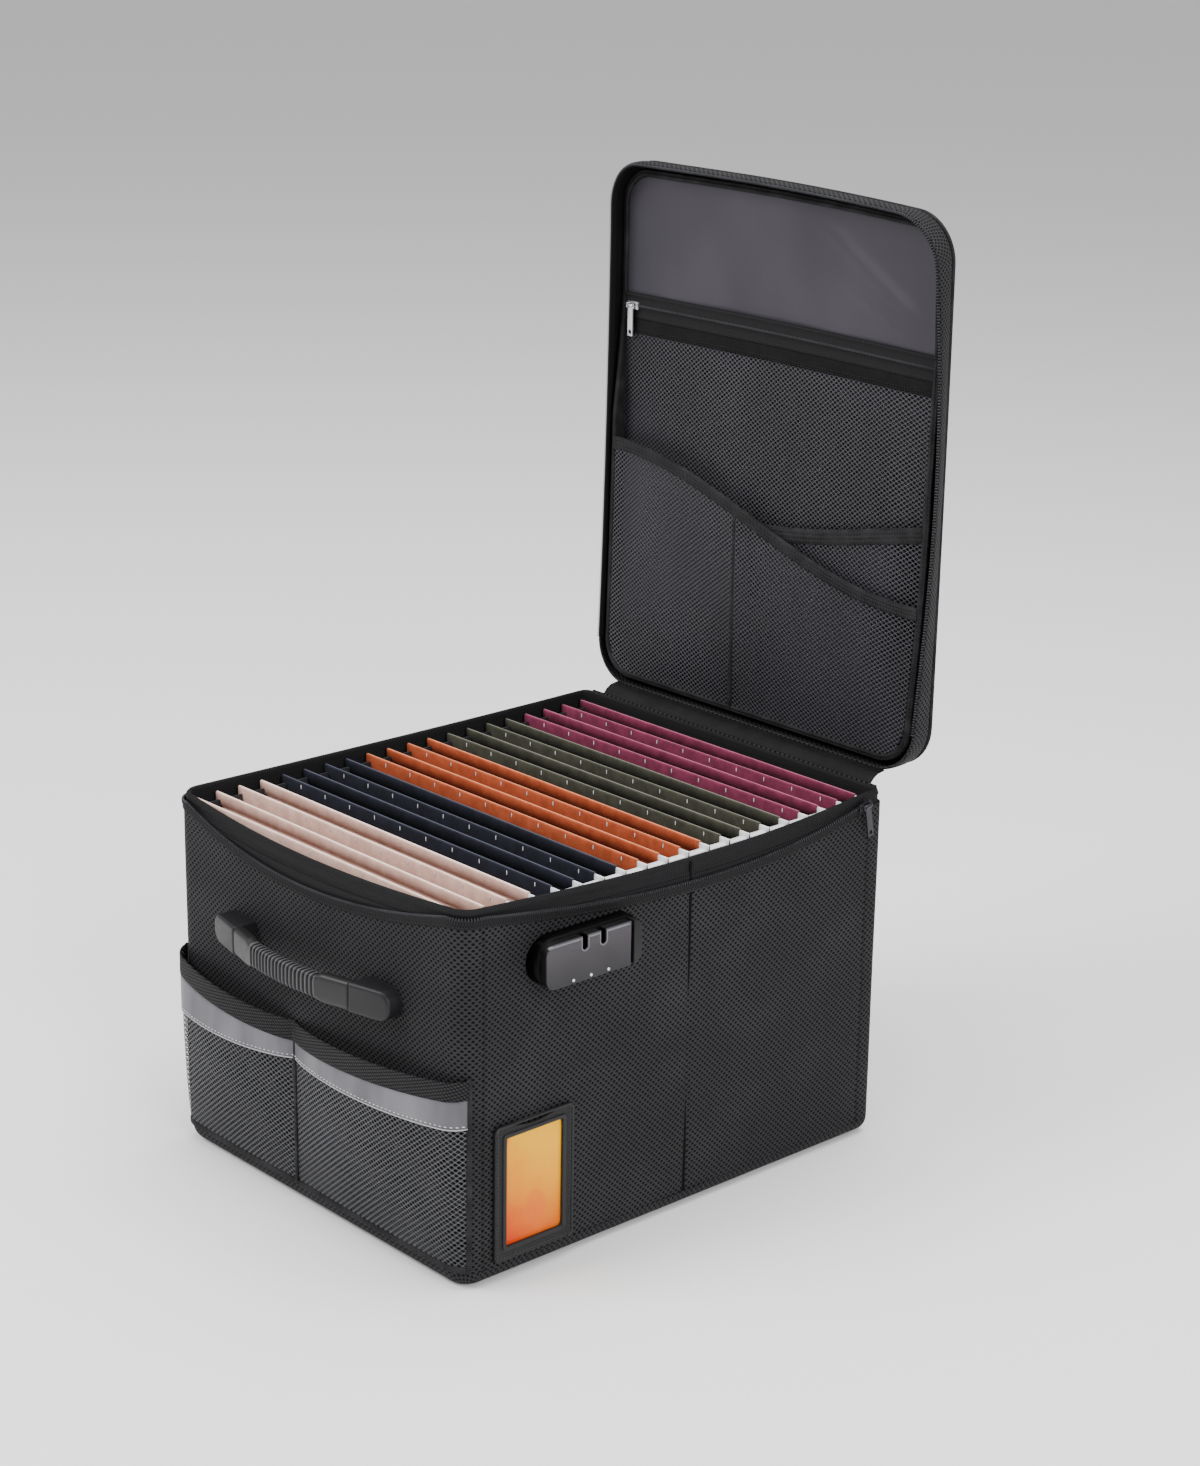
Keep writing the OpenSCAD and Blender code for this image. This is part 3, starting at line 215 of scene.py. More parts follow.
# %% Woven cover
def woven_cover(cell=5.0, row_height=2.3):
    cloth = Finish("woven cover", Specular_IOR_Level=0.12)
    along, up = cloth.sewn()
    level_row = up / row_height
    stagger = (level_row.maths("FLOOR") * 0.5).maths("FRACT")
    hole = (1 - (along / cell + stagger).hump()) * level_row.hump()
    thread = 1 - hole.fade(0.06, 0.55)
    light = cloth.blend(cloth.noise(60, 4).fade(0.35, 0.75), "#252527", "#2d2d2f")
    return cloth.dress(cloth.blend(thread, "#010101", light), 0.85 - thread * 0.2,
                       thread + level_row.hump() * 0.5 + cloth.noise(0.7, 2) * 0.3, 0.6, 0.8)


def smooth_cloth(name, dark, light, rib, rough=0.62):
    """Bindings, tapes and facings: fine ribs across their length."""
    cloth = Finish(name, Specular_IOR_Level=0.15)
    ribs = (cloth.sewn()[0] / rib).wave() * 0.5 + 0.5
    tone = cloth.noise(14, 3).fade(0.3, 0.8) * 0.6 + ribs * 0.4
    return cloth.dress(cloth.blend(tone, dark, light), rough + cloth.noise(5) * 0.2,
                       ribs + cloth.noise(3, 2) * 0.6, 0.2, 0.6)


def herringbone_tape():
    tape = Finish("zip tape", Specular_IOR_Level=0.12)
    along, up = tape.sewn()
    zigzag = (up / 5).maths("PINGPONG", 0.5) * 5
    rib = ((along + zigzag) / 1.9).wave() * 0.5 + 0.5
    return tape.dress(tape.blend(rib, "#030303", "#222224"), 0.8 - rib * 0.2, rib, 0.25, 0.7)


woven = woven_cover()
binding = smooth_cloth("binding", "#0b0b0c", "#2c2c2e", 1.6)
facing = smooth_cloth("facing cloth", "#060607", "#121213", 0.7, 0.7)
gusset_cloth = smooth_cloth("gusset cloth", "#0a0a0b", "#171718", 0.6, 0.5)
zip_tape = herringbone_tape()
# near-black strap finish: painted shade in the side fold seams
fold_seam_shade = smooth_cloth("fold seam shade", "#010101", "#040404", 0.8, 0.8)
print("cloth finishes:", woven.material.name, binding.material.name, zip_tape.material.name)

# %% [markdown]
# The pockets are knitted mesh. The finish is see-through in the holes, which lets the
# cloth behind show, and the threads around them are raised. The holes are diamonds, a
# little finer in the lid than in front.

# %% Mesh, webbing and reflective strip
def mesh_cloth(name, pitch, thread, glint, hole_edge=0.42):
    net = Finish(name, Specular_IOR_Level=0.25)
    along, up = net.sewn()
    slant = ((along * 0.75 + up) / pitch).hump() * ((along * 0.75 - up) / pitch).hump()
    sheen = net.noise(60, 2, (1, 1, 0.4)).fade(0.2, 0.8) * 0.3 + 0.7
    strand = net.blend(slant.fade(0.05, hole_edge), net.blend(sheen, thread, glint), thread)
    net.feed("Alpha", 1 - (slant > hole_edge) * 0.9)
    return net.dress(strand, 0.5 + slant * 0.2, 1 - slant, 0.4, 0.5)


def diagonal_webbing():
    web = Finish("pocket webbing", Specular_IOR_Level=0.15)
    along, up = web.sewn()
    twill = ((along + up * 0.9) / 2.8).hump() * ((along * 0.25 - up) / 2.4).hump()
    return web.dress(web.blend(twill.fade(0.05, 0.8), "#030303", "#2a2a2c"), 0.75 - twill * 0.2,
                     twill, 0.7, 0.9)


def reflective_tape():
    tape = Finish("reflective strip", Specular_IOR_Level=0.3, Metallic=0.15)
    up = tape.sewn()[1]
    # painted reflection: soft vertical bands of sheen along the strip
    sheen_bands = tape.noise(34, 2, (1, 1, 0.3)).fade(0.3, 0.7)
    glass = tape.noise(0.8, 1)
    return tape.dress(tape.blend(sheen_bands, "#504e53", "#6f6d72"), 0.42 + glass * 0.22,
                      glass + (up / 1.2).wave() * 0.15, 0.08, 0.5)


pocket_net = mesh_cloth("front pocket mesh", 3.9, "#040405", "#4b4b4f")
lid_net = mesh_cloth("lid pocket mesh", 3.7, "#030304", "#444349")
webbing = diagonal_webbing()
reflective = reflective_tape()
print("mesh finishes:", pocket_net.material.name, lid_net.material.name)

# %% [markdown]
# The lid's lining is a satin with long soft creases. The folders are felt-like card: a
# mottled face in one of five colours, a painted highlight along the top fold, and nothing shiny.

# %% Lining, folders and label
def satin_lining():
    satin = Finish("lid satin", Specular_IOR_Level=0.3)
    weave = satin.noise(0.6, 1)
    # painted sheen: soft stretched patches of lighter and darker satin
    sheen_patches = satin.noise(70, 2, (1, 1, 0.6)).fade(0.3, 0.75)
    behind_net = satin.axes()[2].fade(588, 584)
    colour = satin.blend(behind_net, satin.blend(sheen_patches, "#2f2c33", "#36333a"), "#050506")
    return satin.dress(colour, 0.46 + weave * 0.14, weave * 0.05 + satin.noise(30, 3, (1, 1, 0.6)), 1.6, 0.45)


def plain_lining():
    lining = Finish("box lining")
    return lining.dress(lining.blend(lining.noise(8), "#26262a", "#3c3c42"), 0.8,
                        lining.noise(1.0, 2), 0.2, 0.6)


def folder_card(name, dark, light, crease, folds):
    card = Finish(name, Specular_IOR_Level=0.25)
    up = card.sewn()[1]
    mottle = card.noise(9, 5).fade(0.25, 0.75)
    fibre = card.noise(1.1, 2)
    felt = card.blend(mottle * 0.7 + fibre * 0.3, dark, light)
    # painted highlight: a light line along each top fold, in the crease colour
    near, far = [(up - fold).maths("ABSOLUTE") < 0.55 for fold in folds]
    return card.dress(card.blend(near.maths("MAXIMUM", far) * 0.7, felt, crease), 0.82 + fibre * 0.15,
                      fibre + mottle * 0.5, 0.25, 0.7)


def card_print():
    """A warm gradient with soft blobs, and nothing printed on it."""
    card = Finish("label card", Roughness=0.5, Specular_IOR_Level=0.15)
    y, z = card.axes()[1:]
    rise = ((z - 20) / 95 + (y + 170) / 150 + card.noise(18, 2) * 0.3).fade(0.1, 1.35)
    round_spot = (((y + 138) / 10) ** 2 + ((z - 46) / 14) ** 2).fade(1.1, 0.8) * 0.45
    corner = (y + 166 + (118 - z) * 0.36).fade(10.5, 9.5) * 0.6
    marked = card.blend(round_spot, card.blend(rise, "#d82c04", "#f9b400"), "#e8661c")
    return card.feed("Base Color", card.blend(corner, marked, "#e07a00"))


# %% [markdown]
# Hard pieces need little colour and the right gloss: moulded plastic with a faint orange
# peel, soft rubber, brushed steel, and a leather whose grain is a net of small cells.

# %% Hard finishes
def moulded(name, dark, light, rough, peel=0.05, metal=0.0, gloss=0.25):
    shell = Finish(name, Metallic=metal, Specular_IOR_Level=gloss)
    return shell.dress(shell.blend(shell.noise(30, 3), dark, light), rough + shell.noise(4, 3) * 0.12,
                       shell.noise(0.8, 2), peel, 0.5)


def leather_grain():
    hide = Finish("label leather", Specular_IOR_Level=0.3)
    grain = hide.node("ShaderNodeTexVoronoi", {"feature": "DISTANCE_TO_EDGE"},
                      {"Vector": hide.solid(), "Scale": 900}).fade(0.0, 0.18)
    return hide.dress(hide.blend(grain, "#030303", "#121113"), 0.58 - grain * 0.16, grain, 0.25, 0.7)


def clear_film():
    film = Finish("clear film", Roughness=0.12, Alpha=0.04, Specular_IOR_Level=0.3)
    return film.feed("Base Color", film.blend(film.noise(25), "#38383c", "#48484c"))


def ribbed_rubber():
    """Black rubber with painted light: a painted highlight along the rib crests, and painted shade over the
    ribbed middle, darker than the smooth ends.
    """
    rubber = Finish("grip rubber", Specular_IOR_Level=0.35)
    x = rubber.axes()[0]
    from_middle = x.maths("ABSOLUTE")
    # painted highlight: the rib crests are lighter than the grooves
    crest = (x / rib_pitch + 0.25).wave().fade(0.35, 0.95) * (from_middle < 38)
    # painted shade: the ribbed middle is darker than the smooth ends
    smooth = rubber.blend(from_middle < rib_reach, "#141415", "#070708")
    return rubber.dress(rubber.blend(crest, smooth, "#47474a"), 0.36 + rubber.noise(5) * 0.16,
                        rubber.noise(0.8, 2), 0.08, 0.5)


def lock_face():
    """A satin grey front with painted light: lighter at the top and darker downwards, as on a slightly domed
    face. The sides are black.
    """
    face = Finish("lock cover satin", Specular_IOR_Level=0.3)
    x, z = face.axes()[::2]
    # painted light: the face brightens towards its top
    lit = ((z - 211) / 32 + face.noise(25) * 0.25).fade(0.0, 1.2)
    colour = face.blend(x.fade(180.7, 181.5), "#030303", face.blend(lit, "#171518", "#3c393d"))
    return face.dress(colour, 0.4 + face.noise(4, 3) * 0.1, face.noise(0.8, 2), 0.05, 0.5)


rib_pitch, rib_reach = 4.1, 36.5
leather = leather_grain()
film = clear_film()
label_card = card_print()
satin = satin_lining()
box_lining = plain_lining()
cap_plastic = moulded("cap plastic", "#121214", "#1a1a1c", 0.38, 0.08)
grip_rubber = ribbed_rubber()
lock_black = moulded("lock base plastic", "#010101", "#030303", 0.4, gloss=0.06)
button_black = moulded("lock button plastic", "#0d0d0e", "#1a191b", 0.35, gloss=0.2)
lock_grey = lock_face()
# light trim colour: the painted highlights on the lock's ridge and slot rims
lock_highlight_trim = moulded("lock highlight trim", "#5f5d62", "#77757a", 0.35, metal=0.3)
dial_white = moulded("dial plastic", "#d2d2d0", "#e8e8e6", 0.3)
steel = moulded("fixing steel", "#8a8a8e", "#a6a6aa", 0.3, metal=1.0)
teeth_metal = moulded("zip teeth", "#28282b", "#4a4a4e", 0.34, metal=0.4)
slider_metal = moulded("slider metal", "#2e2e32", "#46464b", 0.3, metal=0.8)
pull_silver = moulded("pull metal", "#b6b6ba", "#d6d6da", 0.22, metal=0.95)
rail_white = moulded("rail enamel", "#cfcfd2", "#e2e2e4", 0.35)
board_card = moulded("stiff board", "#6f5840", "#8e7354", 0.85, 0.2)
thread_white = moulded("light thread", "#b9b8bb", "#d7d6d9", 0.7)
thread_black = moulded("dark thread", "#1c1c1e", "#2c2c2e", 0.6)
thread_grey = moulded("grey thread", "#38383b", "#505054", 0.6)
strip_rim = moulded("strip rim", "#8a898d", "#a5a4a8", 0.5)
rod_steel = moulded("rod steel", "#2c2c30", "#4a4a4f", 0.35, metal=0.6)
leather_edge = moulded("leather edge", "#141315", "#232124", 0.4)
print("hard finishes:", len(bpy.data.materials), "materials so far")

# %% [markdown]
# Nearly every soft piece here is a strip or a skin that can be written as rows of points.
# `skin` turns such rows into a mesh with a map in real millimetres, and `settle` gives a
# piece the body it rides on and hides the nodes it stands for.

# %% Skins
def add_piece(name, mesh):
    piece = bpy.data.objects.new(name, mesh)
    bpy.context.scene.collection.objects.link(piece)
    return piece


def mesh_piece(name, points, faces, uv, finish):
    mesh = bpy.data.meshes.new(name)
    mesh.from_pydata((np.asarray(points, float) * MM).tolist(), [], faces)
    if uv is not None:
        corners = np.zeros(len(mesh.loops), int)
        mesh.loops.foreach_get("vertex_index", corners)
        mesh.uv_layers.new(name="UVMap").data.foreach_set(
            "uv", (np.asarray(uv, float)[corners] * MM).ravel())
    mesh.polygons.foreach_set("use_smooth", [True] * len(mesh.polygons))
    mesh.materials.append(finish.material)
    return add_piece(name, mesh)


def weld(piece, caps=False, outwards=False, plain=False, sharp=None):
    """Merges doubled points, and closes ends, turns faces out, merges flat faces or marks edges."""
    work = bmesh.new()
    work.from_mesh(piece.data)
    bmesh.ops.remove_doubles(work, verts=work.verts, dist=0.00001)
    if caps:
        bmesh.ops.holes_fill(work, edges=[e for e in work.edges if e.is_boundary])
    if caps or outwards:
        bmesh.ops.recalc_face_normals(work, faces=work.faces)
    if plain:
        bmesh.ops.dissolve_limit(work, angle_limit=math.radians(1), verts=work.verts, edges=work.edges)
    if sharp:
        work.normal_update()
        for edge in work.edges:
            edge.smooth = len(edge.link_faces) == 2 and edge.calc_face_angle(0) < math.radians(sharp)
    work.to_mesh(piece.data)
    work.free()
    return piece


def lengths(points, axis):
    """Running length along one axis of a grid of points."""
    steps = np.linalg.norm(np.diff(points, axis=axis), axis=2)
    start = np.zeros_like(steps.take([0], axis=axis))
    return np.concatenate([start, np.cumsum(steps, axis=axis)], axis=axis)


def skin(name, points, finish, uv=None, flip=False):
    """A grid of points, [along, up, xyz], as a quad mesh that faces along x up."""
    points = np.asarray(points, float)
    rows, columns = points.shape[:2]
    index = np.arange(rows * columns).reshape(rows, columns)
    corners = [index[:-1, :-1], index[1:, :-1], index[1:, 1:], index[:-1, 1:]]
    if flip:
        corners.reverse()
    faces = np.stack(corners, -1).reshape(-1, 4).tolist()
    if uv is None:
        uv = np.stack([lengths(points, 0), lengths(points, 1)], -1)
    return mesh_piece(name, points.reshape(-1, 3), faces, np.asarray(uv).reshape(-1, 2), finish)


def thicken(piece, wall):
    """A wall that grows inwards from the drawn face."""
    solid = piece.modifiers.new("wall", "SOLIDIFY")
    solid.thickness = wall * MM
    solid.offset = -1
    return piece


def stretched_cloth(piece, grid):
    """Prints the size of a sheet's cut from its grid: its widest and longest run."""
    grid = np.asarray(grid, float) * MM
    flat = [float(lengths(grid, axis).max()) for axis in (0, 1)]
    across = np.cross(grid[1:, 1:] - grid[:-1, :-1], grid[:-1, 1:] - grid[1:, :-1])
    print(piece.name, "is cut from", [round(side / MM) for side in flat], "mm")


def settle(piece, body, slot, *nodes):
    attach(piece, body)
    if nodes:
        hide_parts(*nodes)
    return piece


# %% [markdown]
# The box's outline is a rounded rectangle. A run of it is a list of points with the
# direction that faces out of the box, which everything on the walls is then offset from.

# %% Runs along an outline
def straight(start, end, step=4):
    start, end = np.array(start, float), np.array(end, float)
    count = max(2, int(round(np.linalg.norm(end - start) / step)) + 1)
    way = (end - start) / np.linalg.norm(end - start)
    places = start + np.linspace(0, 1, count)[:, None] * (end - start)
    return np.hstack([places, np.tile([way[1], -way[0]], (count, 1))])


def bend(x, y, radius, first, steps=9):
    """A quarter turn about a corner's centre."""
    angles = np.radians(np.linspace(first, first + 90, steps))
    facing_out = np.stack([np.cos(angles), np.sin(angles)], 1)
    return np.hstack([np.array([x, y]) + radius * facing_out, facing_out])


def joined(*runs):
    return np.vstack([runs[0]] + [run[1:] for run in runs[1:]])


def wall_points(run, out, height):
    """Points on a wall, out from the outline by out and at that height."""
    out, height = np.broadcast_to(out, len(run)), np.broadcast_to(height, len(run))
    return np.column_stack([run[:, 0] + run[:, 2] * out, run[:, 1] + run[:, 3] * out, height])


def facing_of(run):
    """The direction that faces out of the box, at each point of a run."""
    return np.column_stack([run[:, 2:], np.zeros(len(run))])


rear_r = 9
rear_w, rear_d = half_w - rear_r, half_d - rear_r
front_run = joined(bend(-flat_w, -flat_d, corner_r, 180), straight((-flat_w, -half_d), (flat_w, -half_d)),
                   bend(flat_w, -flat_d, corner_r, 270))
right_run = straight((half_w, -flat_d), (half_w, flat_d))
back_run = joined(straight((half_w, flat_d), (half_w, rear_d)), bend(rear_w, rear_d, rear_r, 0),
                  straight((rear_w, half_d), (-rear_w, half_d)), bend(-rear_w, rear_d, rear_r, 90),
                  straight((-half_w, rear_d), (-half_w, flat_d)))
left_run = straight((-half_w, flat_d), (-half_w, -flat_d))
whole_run = joined(right_run, back_run, left_run, front_run)
zip_run = joined(left_run, front_run, right_run)
print("outline points:", len(whole_run), "of which along the zip:", len(zip_run))

# %% [markdown]
# The zip edge and the band inside it hang in shallow arcs between the corners. On the
# sides the lowest point lies behind the middle, so the arc leans to the rear. Along the
# left wall the folders hold the band up, so it runs nearly straight there.

# %% Hanging edges
def hanging(t, half, sag, shift):
    """An arc that sags between two ends, its lowest point moved by shift."""
    t = np.clip(t, -half, half)
    t = t - shift * (1 - (t / half) ** 2)
    radius = (half ** 2 + sag ** 2) / (2 * sag)
    return np.sqrt(radius ** 2 - np.clip(t, -half, half) ** 2) - radius + sag


def edge_drop(run, front_sag, side_sag):
    x, y = run[:, 0], run[:, 1]
    on_front = (np.abs(x) <= flat_w + 0.01) & (y < 0)
    on_side = (np.abs(y) <= flat_d + 0.01) & (np.abs(x) > flat_w)
    return np.where(on_front, hanging(x, flat_w, front_sag, -12),
                    np.where(on_side, hanging(y, flat_d, side_sag, 24), 0))


def zip_drop(run):
    return edge_drop(run, 24, 20)


def band_drop(run):
    return edge_drop(run, 9, 9) * np.where(run[:, 0] < -flat_w, 0.1, 1)


print("zip edge hangs by", round(float(zip_drop(front_run).max()), 1), "mm in front")

# %% [markdown]
# ## The covers
# Each wall is one panel of woven cloth over a board. It is nearly flat: the board shows
# through as a very slight swell, and the seams pull it in. The side panels have a fold
# seam in the middle of their length, and a seam where they meet the end panels.

# %% Wall covers
fold_y, seam_half_w, seam_depth = 5, 1.7, 1.0
under_skin = 0.25


def seam_dip(distance):
    return seam_depth * np.exp(-(distance / seam_half_w) ** 2)


def along_run(run):
    return lengths(wall_points(run, 0, 0)[:, None], 0)[:, 0]


def wall_cover(hand, run, top):
    """One wall's cloth from the floor edge up to its top edge, seams drawn in."""
    along = along_run(run)
    ends = np.minimum(along, along[-1] - along)
    fold = np.where(np.abs(run[:, 0]) > half_w - 0.01, seam_dip(run[:, 1] - fold_y), 0)
    rows = []
    for share in np.linspace(0, 1, 64):
        height = bottom_r + share * (top - bottom_r)
        swell = 0.5 * np.sin(math.pi * share) * np.sin(math.pi * along / along[-1])
        ripple = 0.18 * np.sin(height / 31 + along / 47) * np.sin(along / 23)
        rows.append(wall_points(run, swell + ripple - fold - seam_dip(ends) * 0.3 - under_skin, height))
    points = np.stack(rows, 1)
    uv = np.stack([np.broadcast_to(along[:, None], points.shape[:2]), points[:, :, 2]], -1)
    cover = thicken(skin("cover_" + hand, points, woven, uv), cover_t - 0.3)
    return settle(cover, "box", "woven_cover", hand + "_panel")


sewn_top = cover_top + 3.4
for hand, run in (("front", front_run), ("right", right_run), ("left", left_run)):
    wall_cover(hand, run, sewn_top - zip_drop(run))
wall_cover("back", back_run, np.where(back_run[:, 1] > half_d - 0.01, rim_z, sewn_top))
print("wall covers from", bottom_r, "to", cover_top)

# %% [markdown]
# The bottom is a shallow tray of the same cloth. Its rounded edge turns the wall under the
# box, so its rows are rings of the outline that shrink towards the middle.

# %% Bottom cover
def bottom_cover():
    rows, uv = [], []
    for turn in np.radians(np.linspace(0, 90, 9)):
        inwards = bottom_r * (1 - math.cos(turn))
        rows.append(wall_points(whole_run, -inwards - under_skin, bottom_r * (1 - math.sin(turn))))
        uv.append(wall_points(whole_run, bottom_r * math.sin(turn), 0)[:, :2])
    for inwards in (30, 60, 100, 140):
        rows.append(np.column_stack([np.clip(whole_run[:, 0], inwards - half_w, half_w - inwards),
                                     np.clip(whole_run[:, 1], inwards - half_d, half_d - inwards),
                                     np.zeros(len(whole_run))]))
        uv.append(rows[-1][:, :2])
    rows.append(rows[-1] * (0, 1, 1))
    uv.append(rows[-1][:, :2])
    tray = skin("cover_bottom", np.stack(rows, 1), woven, np.stack(uv, 1), flip=True)
    return settle(weld(tray), "box", "woven_cover", "bottom_panel")


print("bottom cover:", len(bottom_cover().data.polygons), "faces")

# %% [markdown]
# ## Sweeps
# Bands, welts, tapes and tubes all have one cross-section that is carried along a path.
# The section is given as offsets sideways and outwards from the path.

# %% Sweep helper
def sweep(name, path, outward, section, finish, body, slot):
    """Carries a closed section, [point, (sideways, outwards)], along a path, and closes its ends."""
    path, outward = np.asarray(path, float), np.broadcast_to(np.asarray(outward, float), np.shape(path))
    way = np.gradient(path, axis=0)
    way /= np.linalg.norm(way, axis=1, keepdims=True)
    side = np.cross(way, outward)
    side /= np.linalg.norm(side, axis=1, keepdims=True)
    section = np.vstack([section, section[:1]])
    points = path[:, None] + side[:, None] * section[:, :1] + outward[:, None] * section[:, 1:]
    return settle(weld(skin(name, points, finish), caps=True), body, slot)


def oval(half_side, half_out, sides=12):
    turns = np.linspace(0, 2 * math.pi, sides, endpoint=False)
    return np.stack([half_side * np.cos(turns), half_out * np.sin(turns)], 1)


def strap(width, thick, sides=4):
    """A flat strap's section: rounded edges, both faces."""
    turns = np.linspace(-math.pi / 2, math.pi / 2, sides)
    edge = np.stack([width / 2 - thick / 2 + thick / 2 * np.cos(turns), thick / 2 * np.sin(turns)], 1)
    return np.vstack([edge, -edge])


# %% [markdown]
# ## Rim band
# Inside the zip a black binding caps the boards. Below it, a facing of dark cloth covers
# them, which shows as a crescent where the zip edge hangs lower than the band. Both are
# one skin, whose rows run up the outside, over a rolled top and down the inside.

# %% Rim band and facing
def rim_band():
    top = rim_z - band_drop(whole_run)
    rear = whole_run[:, 1] > half_d - 0.01
    foot = np.where(rear, top - 14, cover_top - zip_drop(whole_run) + 0.3)
    rows = [wall_points(whole_run, -1.15 - 0.25 * math.sin(math.pi * share),
                        foot + share * (top - 12.4 - foot)) for share in (0, 0.25, 0.5, 0.75, 1)]
    rolled = [(-1.9, 12.2), (-1.3, 11.6), (-1.2, 10.8), (-1.8, 10.1), (-2.1, 9), (-2.2, 7), (-2.1, 5),
              (-1.7, 4.1), (-1.5, 3.2), (-2.0, 2.4), (-2.2, 1.2), (-2.9, 0.3), (-3.9, 0), (-4.8, 0.4),
              (-5.3, 1.4), (-5.5, 3), (-5.5, 8), (-5.6, 14), (-5.7, 22)]
    rows += [wall_points(whole_run, out, top - down) for out, down in rolled]
    return settle(weld(skin("rim_binding", np.stack(rows, 1), zip_tape)), "box", "webbing", "rim_band")


print("rim band:", len(rim_band().data.polygons), "faces")

# %% [markdown]
# The sides fold inwards along one vertical seam. A near-black strap lies in it as painted
# shade in the fold, from the floor edge up to the zip, and a short one crosses the rim band above.

# %% Fold seams
fold_top = float(cover_top - zip_drop(np.array([[half_w, fold_y, 1, 0]]))[0])
for hand, x in (("right", half_w), ("left", -half_w)):
    outward = np.array([math.copysign(1, x), 0, 0])
    for part, low, high, out in (("wall", bottom_r, fold_top - 1, -0.75),
                                 ("band", fold_top + 5, rim_z - 11, -1.4)):
        line = np.array([[x, fold_y, z] for z in np.linspace(low, high, 40)]) + outward * out
        # painted shade: a near-black strap in the fold's crease
        sweep(f"fold_seam_{part}_{hand}", line, outward, strap(2.2, 0.7), fold_seam_shade, "box", "woven_cover")
print("fold seams up to", round(fold_top, 1))

# %% [markdown]
# ## What repeats
# Zip teeth, stitches and the light ticks on the folders all repeat along a line. One
# Geometry Nodes tree makes them all: it walks a line at a steady pitch, sets a small
# rounded block on it that faces outwards, and turns the result into plain mesh.

# %% A row along a line
def row_tree():
    tree = bpy.data.node_groups.new("row along a line", "GeometryNodeTree")
    sockets = (("Line", "INPUT", "Geometry"), ("Pitch", "INPUT", "Float"), ("Size", "INPUT", "Vector"),
               ("Finish", "INPUT", "Material"), ("Row", "OUTPUT", "Geometry"))
    for name, way, kind in sockets:
        tree.interface.new_socket(name=name, in_out=way, socket_type="NodeSocket" + kind)
    given, result, line, walk, block, soften, facing_out, tangent, turn, place, plain, round_off, paint = [
        tree.nodes.new(kind) for kind in (
            "NodeGroupInput", "NodeGroupOutput", "GeometryNodeMeshToCurve", "GeometryNodeResampleCurve",
            "GeometryNodeMeshCube", "GeometryNodeSubdivisionSurface", "GeometryNodeInputNamedAttribute",
            "GeometryNodeInputTangent", "FunctionNodeAxesToRotation", "GeometryNodeInstanceOnPoints",
            "GeometryNodeRealizeInstances", "GeometryNodeSetShadeSmooth", "GeometryNodeSetMaterial")]
    walk.mode = "LENGTH"
    facing_out.data_type = "FLOAT_VECTOR"
    facing_out.inputs["Name"].default_value = "outward"
    turn.primary_axis, turn.secondary_axis = "Z", "X"
    for source, out, target, into in (
            (given, "Line", line, "Mesh"), (line, 0, walk, "Curve"), (given, "Pitch", walk, "Length"),
            (given, "Size", block, "Size"), (block, "Mesh", soften, "Mesh"),
            (facing_out, "Attribute", turn, 0), (tangent, 0, turn, 1), (walk, 0, place, "Points"),
            (soften, 0, place, "Instance"), (turn, 0, place, "Rotation"), (place, 0, plain, "Geometry"),
            (plain, 0, round_off, "Geometry"), (round_off, 0, paint, "Geometry"),
            (given, "Finish", paint, "Material"), (paint, 0, result, "Row")):
        tree.links.new(source.outputs[out], target.inputs[into])
    return tree


ROW = row_tree()


def row(name, lines, outward, pitch, size, finish, body, slot):
    """Rounded blocks of size (along, across, out) in mm, a pitch apart along each line."""
    facings = [np.broadcast_to(np.asarray(outward, float), np.shape(line)) for line in lines]
    edges, start = [], 0
    for line in lines:
        edges += [(start + i, start + i + 1) for i in range(len(line) - 1)]
        start += len(line)
    mesh = bpy.data.meshes.new(name)
    mesh.from_pydata((np.vstack(lines) * MM).tolist(), edges, [])
    directions = mesh.attributes.new("outward", "FLOAT_VECTOR", "POINT")
    directions.data.foreach_set("vector", np.vstack(facings).ravel())
    piece = add_piece(name, mesh)
    maker = piece.modifiers.new("row", "NODES")
    maker.node_group = ROW
    values = {"Pitch": pitch * MM, "Size": [s * MM for s in size], "Finish": finish.material}
    for socket in ROW.interface.items_tree:
        if socket.name in values:
            maker[socket.identifier] = values[socket.name]
    made = bpy.data.meshes.new_from_object(piece.evaluated_get(bpy.context.evaluated_depsgraph_get()))
    piece.modifiers.clear()
    piece.data = made
    return settle(piece, body, slot)


print("row tree inputs:", [s.name for s in ROW.interface.items_tree if s.in_out == "INPUT"])

# %% [markdown]
# ## The box's zip
# A zip is a woven tape with a coil of nylon or metal teeth along its edge. The tape is
# sewn on the outside of the cover, and the teeth stand along its free upper edge.

# %% Box zip
zip_edge = zip_z - zip_drop(zip_run)
outward_zip = facing_of(zip_run)
tape_rows = [(0.15, 5.2), (0.6, 5.0), (0.7, 4.2), (0.75, 2.6), (0.8, 1.4), (1.25, 0.9), (1.2, 0), (0.5, -0.4),
             (0.1, 0.3), (0.1, 5)]
tape_points = np.stack([wall_points(zip_run, out, zip_edge - down) for out, down in tape_rows], 1)
settle(skin("box_zip_tape", tape_points, zip_tape), "box", "zip_black", "body_zip")
sweep("box_zip_cord", wall_points(zip_run, 0.6, zip_edge + 0.5), outward_zip, oval(1.0, 0.9, 8), zip_tape,
      "box", "zip_black")
teeth = row("box_zip_teeth", [wall_points(zip_run, 0.4, zip_edge + coil_r)], outward_zip, 2.1,
            (1.0, 3.2, 2.7), teeth_metal, "box", "zip_black")
row("box_zip_stitches", [wall_points(zip_run, 0.9, zip_edge - 3.6)], outward_zip, 3.2, (2.3, 0.5, 0.35),
    thread_black, "box", "zip_black")
print("box zip teeth:", len(teeth.data.polygons) // 24)

